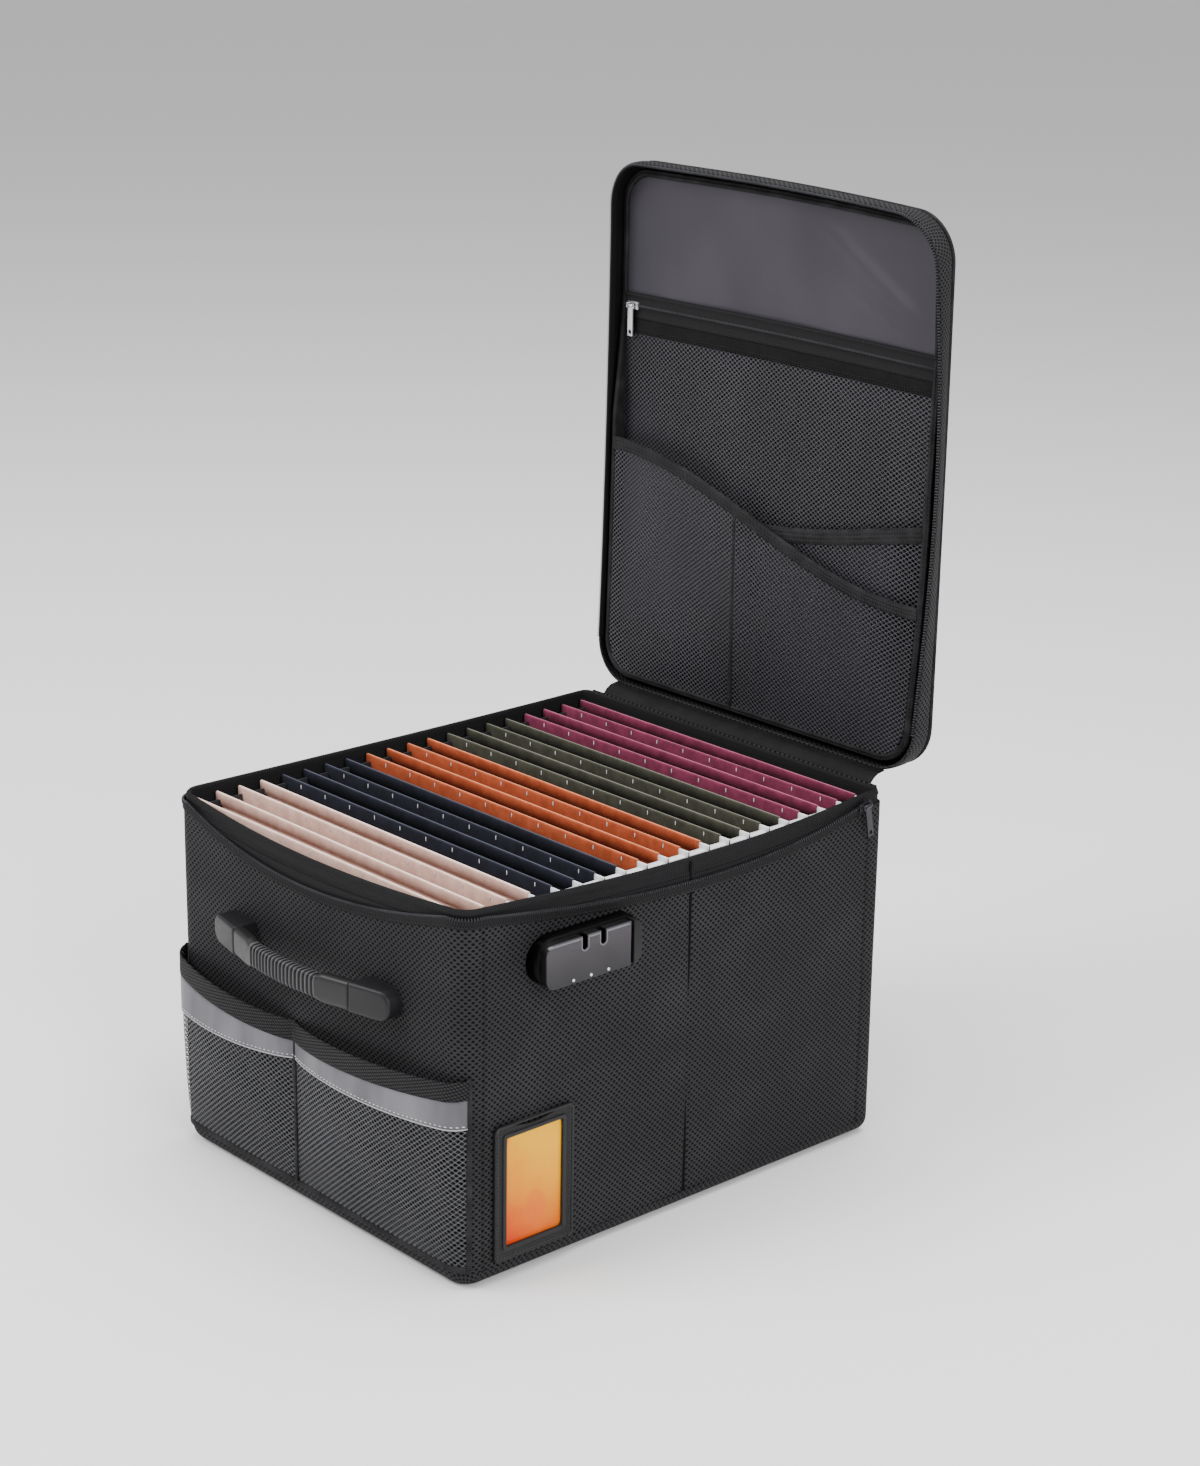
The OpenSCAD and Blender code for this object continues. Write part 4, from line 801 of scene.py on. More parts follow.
# %% [markdown]
# ## Front pockets
# Two mesh pockets share one strip of webbing along their tops. Each pocket swells between
# its seams and is drawn in at the bottom, and its top edge hangs a little. The mesh is a
# skin over the front cover. The webbing, the reflective strip and its light stitches
# follow the same swelling surface, each a little further out.

# %% The pockets' surface
pocket_seams = (-flat_w - 20, -20, flat_w + 20)
pocket_swell, pocket_floor = 12.4, 15
front_along = along_run(front_run)
front_along -= front_along[-1] / 2
in_pockets = (front_along > pocket_seams[0]) & (front_along < pocket_seams[2])
pocket_run, pocket_along = front_run[in_pockets], front_along[in_pockets]
left_side = pocket_along < pocket_seams[1]
seam_before = np.where(left_side, pocket_seams[0], pocket_seams[1])
seam_after = np.where(left_side, pocket_seams[1], pocket_seams[2])
pocket_place = (pocket_along - seam_before) / (seam_after - seam_before)
pocket_bow = np.clip(1 - (2 * pocket_place - 1) ** 2, 0, 1) ** 0.8


def between(left, middle, right):
    """A height given at the left end, the middle seam and the right end."""
    return np.interp(pocket_along, pocket_seams, (left, middle, right)) - 2.2 * pocket_bow


pocket_tops = between(153, 141, 156)
strip_tops = pocket_tops - between(15, 15, 13) - 2.2 * pocket_bow
strip_feet = between(108, 113, 122)


def pocket_points(height, out):
    """Points of the swelling pocket at that height, out from the mesh."""
    height = np.broadcast_to(height, len(pocket_run))
    share = np.clip((height - pocket_floor) / (pocket_tops - pocket_floor), 0, 1.05)
    fullness = np.clip(np.sin(np.clip(share * 0.62, 0, 1) * math.pi), 0, 1) ** 0.6
    return wall_points(pocket_run, 0.6 + out + pocket_swell * pocket_bow * fullness, height)


def pocket_grid(low, high, out, rows):
    return np.stack([pocket_points(low + s * (high - low), out) for s in np.linspace(0, 1, rows)], 1)


print("pocket tops from", round(pocket_tops.min(), 1), "to", round(pocket_tops.max(), 1))

# %% Pocket mesh, webbing and strip
net_grid = pocket_grid(pocket_floor, pocket_tops, 0, 30)
net = settle(skin("front_pocket_net", net_grid, pocket_net), "box", "pocket_mesh", "front_pocket_mesh")
stretched_cloth(net, net_grid)
for name, low, high, out, rows, finish, wall, slot, *nodes in (
        ("front_pocket_band", strip_tops, pocket_tops + 0.5, 1.3, 6, webbing, 1.0, "webbing",
         "front_pocket_webbing"),
        ("front_reflective_strip", strip_feet, strip_tops, 0.9, 8, reflective, 0.6, "reflective",
         "reflective_strips"),
        ("front_strip_edge", strip_feet - 0.7, strip_feet + 0.2, 1.05, 2, strip_rim, 0.5, "reflective")):
    settle(thicken(skin(name, pocket_grid(low, high, out, rows), finish), wall), "box", slot, *nodes)
front_facing = facing_of(pocket_run)
row("front_strip_stitches", [pocket_points(strip_feet + 1.9, 1.05)], front_facing, 4.2, (2.8, 0.8, 0.45),
    thread_white, "box", "reflective")
sweep("front_pocket_hem", pocket_points(pocket_floor + 0.5, 0.3), front_facing, strap(4.5, 1.5), binding,
      "box", "webbing")
middle_seam = int(np.argmin(np.abs(pocket_along - pocket_seams[1])))
for part, spot, over, out, outward, width in (
        ("divider", middle_seam, 0.5, 0.9, (0, -1, 0), 3.2), ("edge_left", 0, 0.8, 0.5, front_facing[0], 4),
        ("edge_right", -1, 0.8, 0.5, front_facing[-1], 4)):
    heights = np.linspace(pocket_floor, pocket_tops[spot] + over, 40)
    sweep("front_pocket_" + part, [pocket_points(h, out)[spot] for h in heights], outward, strap(width, 1.6),
          binding, "box", "webbing")
print("pocket pieces ready")

# %% [markdown]
# ## Mouldings
# The handle's caps, the lock and other moulded parts are an outline that rises in steps,
# each step drawn in a little to round the edge. `moulding` takes the outline at each
# inset and the height of each step, and a placement that sets it on a wall.

# %% Moulding helper
def round_box(width, height, radii, inset=0.0, steps=8):
    """A box's outline, with a radius each for lower right, upper right, upper left and lower left."""
    points = []
    for (sx, sy, start), radius in zip(((1, -1, -90), (1, 1, 0), (-1, 1, 90), (-1, -1, 180)), radii):
        centre = np.array([sx * (width / 2 - radius), sy * (height / 2 - radius)])
        for angle in np.radians(np.linspace(start, start + 90, steps)):
            points.append(centre + max(radius - inset, 0.05) * np.array([math.cos(angle), math.sin(angle)])
                          - np.array([sx, sy]) * max(inset - radius + 0.05, 0))
    return np.array(points)


def set_on(to_wall, points):
    """Places points by the axes and the origin of a wall."""
    return points @ np.array(to_wall[0], float) + np.array(to_wall[1], float)


def moulding(name, outline, rises, to_wall, finish):
    """outline(inset) gives a ring; rises are (inset, height) from the foot to the face."""
    points = np.vstack([np.insert(outline(inset), 2, height, axis=1) for inset, height in rises])
    count = len(outline(0))
    last = (len(rises) - 1) * count
    faces = [(start + i, start + (i + 1) % count, start + count + (i + 1) % count, start + count + i)
             for start in range(0, last, count) for i in range(count)]
    faces += [tuple(range(count))[::-1], tuple(last + i for i in range(count))]
    return weld(mesh_piece(name, set_on(to_wall, points), faces, None, finish), outwards=True, sharp=32)


def rounded(face, radius, steps=5):
    """Rises of a block whose face edge has that radius."""
    turns = np.linspace(0, math.pi / 2, steps)
    return [(0, 0)] + [(radius * (1 - math.cos(t)), face - radius + radius * math.sin(t)) for t in turns]


def softened(name, node, width, finish, body, slot, segments=2):
    """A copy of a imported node, with its edges rounded."""
    piece = add_piece(name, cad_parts[node].data.copy())
    piece.data.materials.clear()
    piece.data.materials.append(finish.material)
    weld(piece, plain=True)
    piece.data.polygons.foreach_set("use_smooth", [True] * len(piece.data.polygons))
    edge = piece.modifiers.new("edge", "BEVEL")
    edge.width, edge.segments, edge.limit_method = width * MM, segments, "ANGLE"
    edge.angle_limit, edge.harden_normals = math.radians(32), True
    return settle(piece, body, slot, node)


# %% [markdown]
# ## Handles
# The handle is a bowed rubber grip whose ends slide in two moulded caps. The caps slope up
# towards the grip, are rounded at their outer ends and split from it by a dark line. Across
# the middle of the grip run fine ribs. The same handle sits on the back.

# %% Handles
handle_z = (cad("handle_caps")[0][2] + cad("handle_caps")[1][2]) / 2 + 1.4
cap_inner, cap_outer, cap_h, cap_depth = 65.6, 101, 22, 20
grip_half, grip_h, grip_t = 65, 17, 10
handle_profile = ((0, 29.5), (18, 29), (36, 27.2), (65, 20), (100, 12))


def handle_rise(x):
    """How far the handle's outer face stands off the wall, at x from its middle."""
    return np.interp(np.abs(x), *zip(*handle_profile))


def slope_cap(cap, side):
    """Leans a cap's face, so that it meets the bowed grip."""
    for corner in cap.data.vertices:
        depth = side * corner.co.y - half_d * MM
        corner.co.y = side * (half_d * MM + depth * handle_rise(corner.co.x / MM) / cap_depth)
    return cap


def grip_ring(x):
    """The grip's section at x: a squared oval, thinner between two ribs."""
    turns = np.linspace(0, 2 * math.pi, 29)
    ribbed = np.clip((rib_reach + 1 - abs(x)) / 1.5, 0, 1)
    rib = 1.9 * ribbed * np.clip(1.5 * np.abs(np.sin(math.pi * x / rib_pitch)) - 0.35, 0, 1)
    high = grip_h / 2 + 2.0 * np.clip((abs(x) - rib_reach) / 6, 0, 1) - 0.9 * rib
    face = handle_rise(x) - 0.3
    outer, inner = face - rib, face - grip_t + 0.4 * rib
    squared = np.sign(np.cos(turns)) * np.abs(np.cos(turns)) ** 0.42
    lifted = np.sign(np.sin(turns)) * np.abs(np.sin(turns)) ** 0.55
    return np.column_stack([np.full(len(turns), x), high * squared,
                            (outer + inner) / 2 + (outer - inner) / 2 * lifted])


for end, side in (("front", -1), ("rear", 1)):
    end_wall = [[-side, 0, 0], [0, 0, 1], [0, side, 0]], [0, side * half_d, handle_z]
    for hand, direction, radii in (("left", -1, (1.5, 1.5, 10, 10)), ("right", 1, (10, 10, 1.5, 1.5))):
        middle = np.array([direction * (cap_inner + cap_outer) / 2, 0])
        cap = moulding(f"{end}_cap_{hand}",
                       lambda inset: round_box(cap_outer - cap_inner, cap_h, radii, inset) + middle,
                       rounded(cap_depth, 3, 7), end_wall, cap_plastic)
        settle(slope_cap(cap, side), "box", "cap_plastic", "handle_caps")
    rings = np.stack([grip_ring(x) for x in np.linspace(-grip_half, grip_half, 420)])
    grip = skin(end + "_handle_grip", set_on(end_wall, rings), grip_rubber)
    settle(weld(grip, caps=True), "grip_" + end, "grip_rubber", end + "_grip")
print("grip ribs:", int(2 * rib_reach / rib_pitch))

# %% [markdown]
# ## Lock
# The lock sits high on the right wall, near the front. Its black base has a big round left
# end that shows beyond the grey cover. The cover is a rounded block with two slots for the
# zip pulls, a ridge along its top edge and three dials that show along its lower edge. The
# light trim on the ridge and round the slots is painted highlight, and a black line under the
# ridge is painted shade. The release button is its right end, split off by a curved line.

# %% Lock
lock_low, lock_high = cad("lock_base")
lock_y, lock_z = (lock_low[1] + lock_high[1]) / 2, (lock_low[2] + lock_high[2]) / 2
lock_h, lock_depth = 32, 17
lock_face_x = half_w + lock_depth
side_wall = [[0, 1, 0], [0, 0, 1], [1, 0, 0]]
base = moulding("lock_back_plate", lambda inset: round_box(90, 35, (6, 6, 17, 17), inset) + np.array([-2, 0]),
                rounded(11, 3.5), (side_wall, [half_w, lock_y, lock_z]), lock_black)
settle(base, "box", "lock_black", "lock_base")
softened("lock_shell", "lock_cover", 1.5, lock_grey, "box", "lock_grey", 4)
softened("lock_end_button", "lock_button", 1.6, button_black, "button", "lock_grey", 4)
for part, (start, end) in enumerate(((-41.5, -12.6), (-5.3, 3.9), (11.2, 31)), 1):
    ridge = np.array([[lock_face_x - 0.5, lock_y + s, lock_z + lock_h / 2 - 1.4]
                      for s in np.linspace(start, end, 10)])
    # painted highlight along the top ridge, and below it a black line of painted shade
    sweep(f"lock_ridge_{part}", ridge, (1, 0, 0), oval(1.0, 0.8), lock_highlight_trim, "box", "lock_grey")
    sweep(f"lock_shade_line_{part}", ridge - np.array([0, 0, 1.9]), (1, 0, 0), oval(0.6, 0.5), lock_black,
          "box", "lock_grey")
for k in (1, 2, 3):
    dial_low, dial_high = cad(f"lock_dial_{k}")
    place = side_wall, [half_w, (dial_low[1] + dial_high[1]) / 2, lock_z - lock_h / 2 + 2.6]
    mark = moulding(f"lock_index_mark_{k}", lambda inset: round_box(2.2, 2.2, (1.09,) * 4, inset),
                    [(0, lock_depth - 0.3), (0.1, lock_depth + 0.3), (0.7, lock_depth + 0.6)],
                    place, dial_white)
    settle(mark, "box", "lock_grey")
    softened(f"dial_wheel_{k}", f"lock_dial_{k}", 0.25, dial_white, f"dial_{k}", "dial_plastic")
for number, middle in ((1, -8.95), (2, 7.55)):
    rim = [(lock_y + middle + 3.1 * math.cos(t), lock_z + 8.5 - 3.1 * math.sin(t))
           for t in np.linspace(0, math.pi, 15)]
    rim = [(rim[0][0], lock_z + 15.6)] + rim + [(rim[-1][0], lock_z + 15.6)]
    # painted highlights on the slots' rims
    sweep(f"lock_slot_rim_{number}", [[lock_face_x - 0.1, y, z] for y, z in rim], (1, 0, 0),
          oval(0.5, 0.35, 8), lock_highlight_trim, "box", "lock_grey")
print("lock at", round(lock_y, 1), round(lock_z, 1))

# %% [markdown]
# ## Label holder
# A leather frame is sewn to the wall on three sides. Its top edge is cut in a shallow
# curve so that the card can be pinched, and a clear film covers the window.

# %% Label holder
label_low, label_high = cad("label_frame")
label_mid = [(label_low[1] + label_high[1]) / 2, (label_low[2] + label_high[2]) / 2]
label_face, label_w, label_h = label_high[0], label_high[1] - label_low[1], label_high[2] - label_low[2]
window_low, window_high = cad("label_card")
softened("label_leather", "label_frame", 0.6, leather, "box", "label_leather", 3)
softened("label_insert", "label_card", 0.2, label_card, "card", "label_paper")
softened("label_film", "label_window", 0.1, film, "box", "clear_film")


def stitch_ring(inset, top_dip):
    """The seam round the frame, down one side, along the foot and up the other."""
    y0, y1 = label_low[1] + inset, label_high[1] - inset
    z0, z1 = label_low[2] + inset, label_high[2] - top_dip
    ring = [(y0, z) for z in np.linspace(z1, z0, 30)] + [(y, z0) for y in np.linspace(y0, y1, 22)[1:]]
    ring += [(y1, z) for z in np.linspace(z0, z1, 30)[1:]]
    return np.array([[label_face + 0.05, y, z] for y, z in ring])


row("label_stitches", [stitch_ring(2.6, 3), stitch_ring(7.6, 10)], (1, 0, 0), 2.8, (1.9, 0.6, 0.5),
    thread_grey, "box", "label_leather")
outer = round_box(label_w - 1.2, label_h - 1.2, (4,) * 4)[:24] + np.array(label_mid)
sweep("label_edge_bead", np.insert(outer, 0, label_face - 0.1, axis=1), (1, 0, 0), oval(1.0, 0.8, 8),
      leather_edge, "box", "label_leather")
window_w, window_h = window_high[1] - window_low[1], window_high[2] - window_low[2]
inner = round_box(window_w - 0.6, window_h - 1.6, (1.4,) * 4, 0, 4)
inner = np.vstack([inner, inner[:2]]) + np.array([label_mid[0], window_low[2] + 42.8])
sweep("label_window_bead", np.insert(inner, 0, label_face + 0.2, axis=1), (1, 0, 0), strap(3.2, 1.4),
      leather_edge, "box", "label_leather")
print("label holder", round(label_w, 1), "by", round(label_h, 1))

# %% [markdown]
# ## Lid
# The lid is a shallow tray that stands upright. Its outline is a rounded rectangle in the
# upright plane. Its open rim is only cloth and zip, so it splays to the right in the middle
# and hangs a little in the upper right corner, while the board holds the back flat.
# `spring` bends every piece of the lid in that way.

# %% The lid's outline
right_splay, left_splay, spring_from, corner_droop, rim_lean = 16, 4, 110, 8.5, 9


def spring(points):
    """Moves the side edges to the right, most at the rim and mid-height, and lowers the upper right."""
    points = np.array(points, float)
    loose = np.clip((lid_back - points[..., 1]) / lid_depth, 0, 1)
    rise = np.clip((points[..., 2] - lid_low) / (lid_high - lid_low), 0, 1)
    high = np.sin(math.pi * rise ** 1.15)
    to_right = np.clip((points[..., 0] + 60) / 232, 0, 1)
    points[..., 2] -= corner_droop * to_right ** 2 * np.clip(2.2 * rise - 1.2, 0, 1)
    right, left = (np.clip((hand * points[..., 0] - spring_from) / (lid_half_w - spring_from), 0, 1)
                   for hand in (1, -1))
    points[..., 0] += right_splay * loose * right ** 2 * (3 - 2 * right) * high ** 0.85
    points[..., 0] += left_splay * loose * left * high ** 0.5 + rim_lean * loose * left * rise
    return points


side_x, low_z, high_z = lid_half_w - lid_r, lid_low + lid_r, lid_high - lid_r
lid_run = joined(straight((lid_half_w, low_z), (lid_half_w, high_z)), bend(side_x, high_z, lid_r, 0, 13),
                 straight((side_x, lid_high), (-side_x, lid_high)), bend(-side_x, high_z, lid_r, 90, 13),
                 straight((-lid_half_w, high_z), (-lid_half_w, low_z)))
lid_loop = joined(lid_run, bend(-side_x, low_z, lid_r, 180, 13),
                  straight((-side_x, lid_low), (side_x, lid_low)), bend(side_x, low_z, lid_r, 270, 13))


def lid_points(run, inset, depth):
    """Points on the lid at an inset from its outline, at that place from front (rim) to back."""
    depth = np.broadcast_to(depth, len(run))
    return spring(np.column_stack([run[:, 0] - run[:, 2] * inset, depth, run[:, 1] - run[:, 3] * inset]))


def lid_rows(run, profile):
    """One row of points for each (inset, depth behind the rim) of a profile."""
    return np.stack([lid_points(run, inset, lid_rim + depth) for inset, depth in profile], 1)


print("lid outline points:", len(lid_loop))

# %% [markdown]
# The lid's outside is one cloth: a flat panel, a rounded edge and a side band. Its map is
# the flat pattern of that cloth, so that the weave runs straight over the edge.

# %% Lid shell
lid_edge_r = 8


def lid_shell():
    rows, uv = [], []
    out_of_loop = lid_loop[:, 2:]
    flat = lid_loop[:, :2] - out_of_loop * lid_edge_r
    centre = np.array([0, lid_mid_z])
    for share in (0.0, 0.35, 0.7, 1.0):
        uv.append(centre + (flat - centre) * share)
        rows.append(spring(np.insert(uv[-1], 1, lid_back - 0.2, axis=1)))
    for turn in np.radians(np.linspace(0, 90, 8)[1:]):
        inset = lid_edge_r * (1 - math.sin(turn))
        rows.append(lid_points(lid_loop, inset, lid_back - lid_edge_r * (1 - math.cos(turn)) - 0.2))
        uv.append(flat + out_of_loop * lid_edge_r * turn)
    for depth in np.linspace(lid_back - lid_edge_r - 1, lid_rim + 3.6, 6):
        rows.append(lid_points(lid_loop, -0.6 * math.sin(math.pi * (depth - lid_rim) / 20), depth))
        uv.append(flat + out_of_loop * (lid_edge_r * math.pi / 2 + lid_back - lid_edge_r - depth))
    for inset, depth in ((0.5, 3.0), (1.2, 2.9), (2.0, 3.4)):
        rows.append(lid_points(lid_loop, inset, lid_rim + depth))
        uv.append(uv[-1] + out_of_loop * 0.8)
    shell = thicken(weld(skin("lid_shell", np.stack(rows, 1), woven, np.stack(uv, 1))), cover_t)
    return settle(shell, "lid", "woven_cover", "lid_cover", "lid_side_band")


print("lid shell:", len(lid_shell().data.polygons), "faces")
bead_out = np.insert(lid_loop[:, 2:], 1, 1, axis=1) * 0.7
sweep("lid_edge_piping", lid_points(lid_loop, 1.6, lid_back - 1.4), bead_out, oval(1.5, 1.5, 10), binding,
      "lid", "webbing")

# %% [markdown]
# The lid's half of the zip runs up one side, over the top and down the other. Its tape is
# sewn inside the side band, and its teeth stand on the rim, facing the front.

# %% Lid zip
lid_out = np.insert(lid_run[:, 2:], 1, 0, axis=1)
tape_profile = [(0.5, 4.2), (0.3, 3.2), (0.5, 2.4), (1.2, 2.1), (1.9, 2.5), (2.3, 3.6), (2.6, 6), (2.5, 12),
                (2.4, 17)]
settle(skin("lid_zip_tape", lid_rows(lid_run, tape_profile), zip_tape), "lid", "zip_black", "lid_zip")
teeth = row("lid_zip_teeth", [lid_points(lid_run, 1.1, lid_rim + coil_r)], lid_out, 2.1, (1.0, 3.2, 2.5),
            teeth_metal, "lid", "zip_black")
sweep("lid_zip_cord", lid_points(lid_run, 1.6, lid_rim + 2.7), lid_out, oval(0.8, 1.0, 8), zip_tape,
      "lid", "zip_black")
print("lid teeth:", len(teeth.data.polygons) // 24)

# %% [markdown]
# Between the side band and the lining panel lies a gutter of smooth dark cloth, which
# turns from the band to the lid's back. The panel itself is framed by a rolled welt that
# all the pockets are sewn to.

# %% Gutter and welts
gutter_profile = [(2.9, 9.0), (3.0, 12), (3.1, 15), (3.5, 17.4), (4.4, 18.3), (5.6, 18.6), (8, 18.6)]
settle(weld(skin("lid_gutter", lid_rows(lid_loop, gutter_profile), facing)), "lid", "gusset_cloth")
panel_in = 11.5
liner_y = cad("lid_lining")[0][1] - 3
mesh_front = cad("lid_front_mesh")[0][1] + 0.8
welt_sections = [(5.6, 18), (5.5, 12), (5.6, 4.4), (6.1, 1.6), (7.0, 0.5), (7.7, 0.9), (8.2, 0.9), (8.8, 0),
                 (9.8, -0.3), (10.8, 0.1), (11.4, 1.4), (11.7, 3.4), (11.8, 14)]
welt_back = (liner_y - 3.2 - mesh_front) * np.clip((lid_loop[:, 1] - 500) / 90, 0, 1)
welt_rows = [lid_points(lid_loop, inset, np.minimum(mesh_front + back + welt_back, lid_rim + 19.5))
             for inset, back in welt_sections]
settle(weld(skin("lid_panel_welt", np.stack(welt_rows, 1), binding)), "lid", "webbing", "lid_welts")
row("lid_welt_stitches", [lid_points(lid_loop, 7.9, mesh_front + 0.7 + welt_back)], (0, -1, 0), 3.2,
    (2.3, 0.6, 0.5), thread_black, "lid", "webbing")
print("welt rows:", len(welt_rows))

# %% [markdown]
# The lining shows above the pocket zip. It is a loose satin, so long soft folds run over
# it, mostly slanting down to the right.

# %% Satin lining
panel_half_w = lid_half_w - panel_in
panel_low, panel_high = lid_low + panel_in, lid_high - panel_in
panel_corner = lid_r - panel_in


def panel_end(x, high):
    """Height of the panel's rounded edge at x."""
    over = np.clip((np.abs(x) - (panel_half_w - panel_corner)) / panel_corner, 0, 1)
    drop = panel_corner * (1 - np.sqrt(1 - over ** 2))
    return panel_high - drop if high else panel_low + drop


def crest(x, z, lean, level, width, start, fade):
    """A sharp crease that slants down to the right and starts at x = start."""
    return np.exp(-((x * lean + z - level) / width) ** 2) * np.clip((x - start) / fade, 0, 1)


def satin_fold(x, z):
    """How far the loose lining stands out: slanting folds that fade towards the welt."""
    slant = (x * 0.62 + (z - 640) * 1.0) / 34
    folds = 0.6 * np.sin(slant + 0.5 * np.sin(x / 41)) + 0.35 * np.sin(slant * 2.3 + x / 29)
    folds += 2.4 * crest(x, z, 0.6, 705, 9, 20, 60) + 1.8 * crest(x, z, 0.45, 668, 7, 60, 40)
    pull = 0.8 * np.exp(-((x + 60) / 60) ** 2 - ((z - 640) / 24) ** 2)
    edge = np.clip((panel_half_w - np.abs(x)) / 25, 0, 1) * np.clip((panel_high - z) / 18, 0, 1)
    return 0.6 + (folds + pull) * edge


lining_grid = np.array([[[x, 0, panel_end(x, False) - 1 + s * (panel_end(x, True) - panel_end(x, False) + 2)]
                         for s in np.linspace(0, 1, 130)]
                        for x in np.linspace(-panel_half_w - 2, panel_half_w + 2, 110)])
lining_grid[..., 1] = liner_y - satin_fold(lining_grid[..., 0], lining_grid[..., 2])
lining_skin = thicken(skin("lid_satin", spring(lining_grid), satin), 0.5)
stretched_cloth(settle(lining_skin, "lid", "lid_satin", "lid_lining"), lining_grid)
print("satin folds from", round(float(lining_grid[..., 1].min()), 1))

# %% [markdown]
# ## Lid pockets
# A full-width mesh pocket closes with a zip. In front of it lie a right pocket with a
# rising edge, and a front pocket whose edge falls in a long S from left to right. Both
# have a ribbed elastic binding, and one seam divides them.

# %% Lid pocket meshes
zip_low, zip_high = cad("lid_pocket_zip")
zip_face, pocket_zip_z = zip_low[1], (zip_low[2] + zip_high[2]) / 2
zip_mesh_y, right_mesh_y = cad("lid_zip_mesh")[0][1], cad("lid_right_mesh")[1][1] - 0.8
lid_seam_x = -18


def zip_pocket_edge(x):
    return pocket_zip_z - 9 + 0 * x


def falling_edge(x):
    share = (x + panel_half_w) / (2 * panel_half_w)
    return lid_low + 129 + 72 * (0.5 + 0.5 * np.cos(math.pi * share))


def rising_edge(x):
    share = np.clip((x - lid_seam_x) / (panel_half_w - lid_seam_x), 0, 1)
    return lid_low + 157 + 31 * share - 5 * np.sin(math.pi * share)


def panel_net(part, left, top, depth, swell, fullness=0.7):
    """A mesh pocket from the panel's lower edge up to top(x), swelling a little in between."""
    grid = np.array([[[x, depth + 0.4, panel_end(x, False) + s * (top(x) - panel_end(x, False))]
                      for s in np.linspace(0, 1, 40)] for x in np.linspace(left, panel_half_w, 60)])
    across = np.sin(math.pi * np.clip((grid[..., 0] - left) / (panel_half_w - left), 0, 1))
    rise = np.linspace(0, 1, 40)[None, :]
    grid[..., 1] -= swell * across ** 0.7 * np.sin(math.pi * rise * fullness)
    piece = skin(f"lid_{part}_pocket_net", spring(grid), lid_net, grid[..., [0, 2]])
    stretched_cloth(settle(piece, "lid", "pocket_mesh", f"lid_{part}_mesh"), grid)


panel_net("zip", -panel_half_w, zip_pocket_edge, zip_mesh_y, 1.6, 1.0)
panel_net("right", lid_seam_x, rising_edge, right_mesh_y, 1.8)
panel_net("front", -panel_half_w, falling_edge, mesh_front, 1.2)
print("pocket zip at", pocket_zip_z, "meshes at",
      [round(float(y), 1) for y in (zip_mesh_y, right_mesh_y, mesh_front)])

# %% Bindings and divider
to_front = (0, -1, 0)


def panel_line(xs, depth, height):
    """A line across the panel. The height is a number or a function of x."""
    return spring(np.array([[x, depth, height(x) if callable(height) else height] for x in xs]))


def edge_binding(name, xs, edge, depth, width):
    """An elastic binding over a pocket's edge, with three ribs and a seam under it."""
    middle = 1 - width / 2
    sweep(name, panel_line(xs, depth, lambda x: edge(x) + middle), to_front, strap(width, 2.4, 6), binding,
          "lid", "webbing")
    ribs = [panel_line(xs, depth - 1.25, lambda x: edge(x) + middle + share * width)
            for share in (-0.25, 0.02, 0.28)]
    row(name + "_ribs", ribs, to_front, 1.6, (1.0, 2.4, 0.5), thread_black, "lid", "webbing")
    row(name + "_stitches", [panel_line(xs, depth - 0.9, lambda x: edge(x) - width + 1.6)], to_front, 3.0,
        (2.2, 0.5, 0.5), thread_black, "lid", "webbing")


diagonal_xs = np.linspace(-panel_half_w - 1, panel_half_w + 1, 60)
edge_binding("lid_diagonal_binding", diagonal_xs, falling_edge, mesh_front - 0.2, 10)
edge_binding("lid_right_binding", np.linspace(lid_seam_x, panel_half_w + 1, 40), rising_edge,
             right_mesh_y - 0.6, 12)
divider_top = falling_edge(lid_seam_x) - 7
divider = np.array([[lid_seam_x, mesh_front - 0.5, z] for z in np.linspace(panel_low, divider_top, 24)])
sweep("lid_pocket_divider", divider, to_front, strap(3.0, 1.2), binding, "lid", "webbing")
row("lid_divider_stitches", [divider - np.array([0, 0.6, 0])], to_front, 3.0, (2.2, 0.5, 0.4), thread_black,
    "lid", "webbing")
print("bindings along", len(diagonal_xs), "stations")

# %% [markdown]
# The pocket's zip lies across the panel: a black tape with a fine coil in its middle, a
# stitched hem under it, and a silver slider with its pull at the left end.

# %% Pocket zip
band_xs = np.linspace(-panel_half_w - 1.5, panel_half_w + 1.5, 70)
band_section = [(9.5, 0.8), (9.2, 0.1), (8.6, -0.5), (7.4, -0.6), (6.8, -0.2), (2.2, -0.2), (1.6, -0.7),
                (0, -1.0), (-1.6, -0.7), (-2.2, -0.2), (-6.8, -0.2), (-7.4, -0.6), (-9.8, -0.6), (-10.4, 0.1),
                (-10.6, 0.8)]
hem_section = [(-22, 0.0), (-21.6, -0.9), (-17, -1.0), (-10.4, -0.9)]


def across_panel(depth, *ups):
    """Lines across the panel, at those heights above the pocket's zip."""
    return [panel_line(band_xs, depth, pocket_zip_z + up) for up in ups]


def band_across(name, face, section, finish, slot, *nodes):
    lines = [across_panel(face + out, up)[0] for up, out in section]
    settle(skin(name, np.stack(lines, 1), finish), "lid", slot, *nodes)


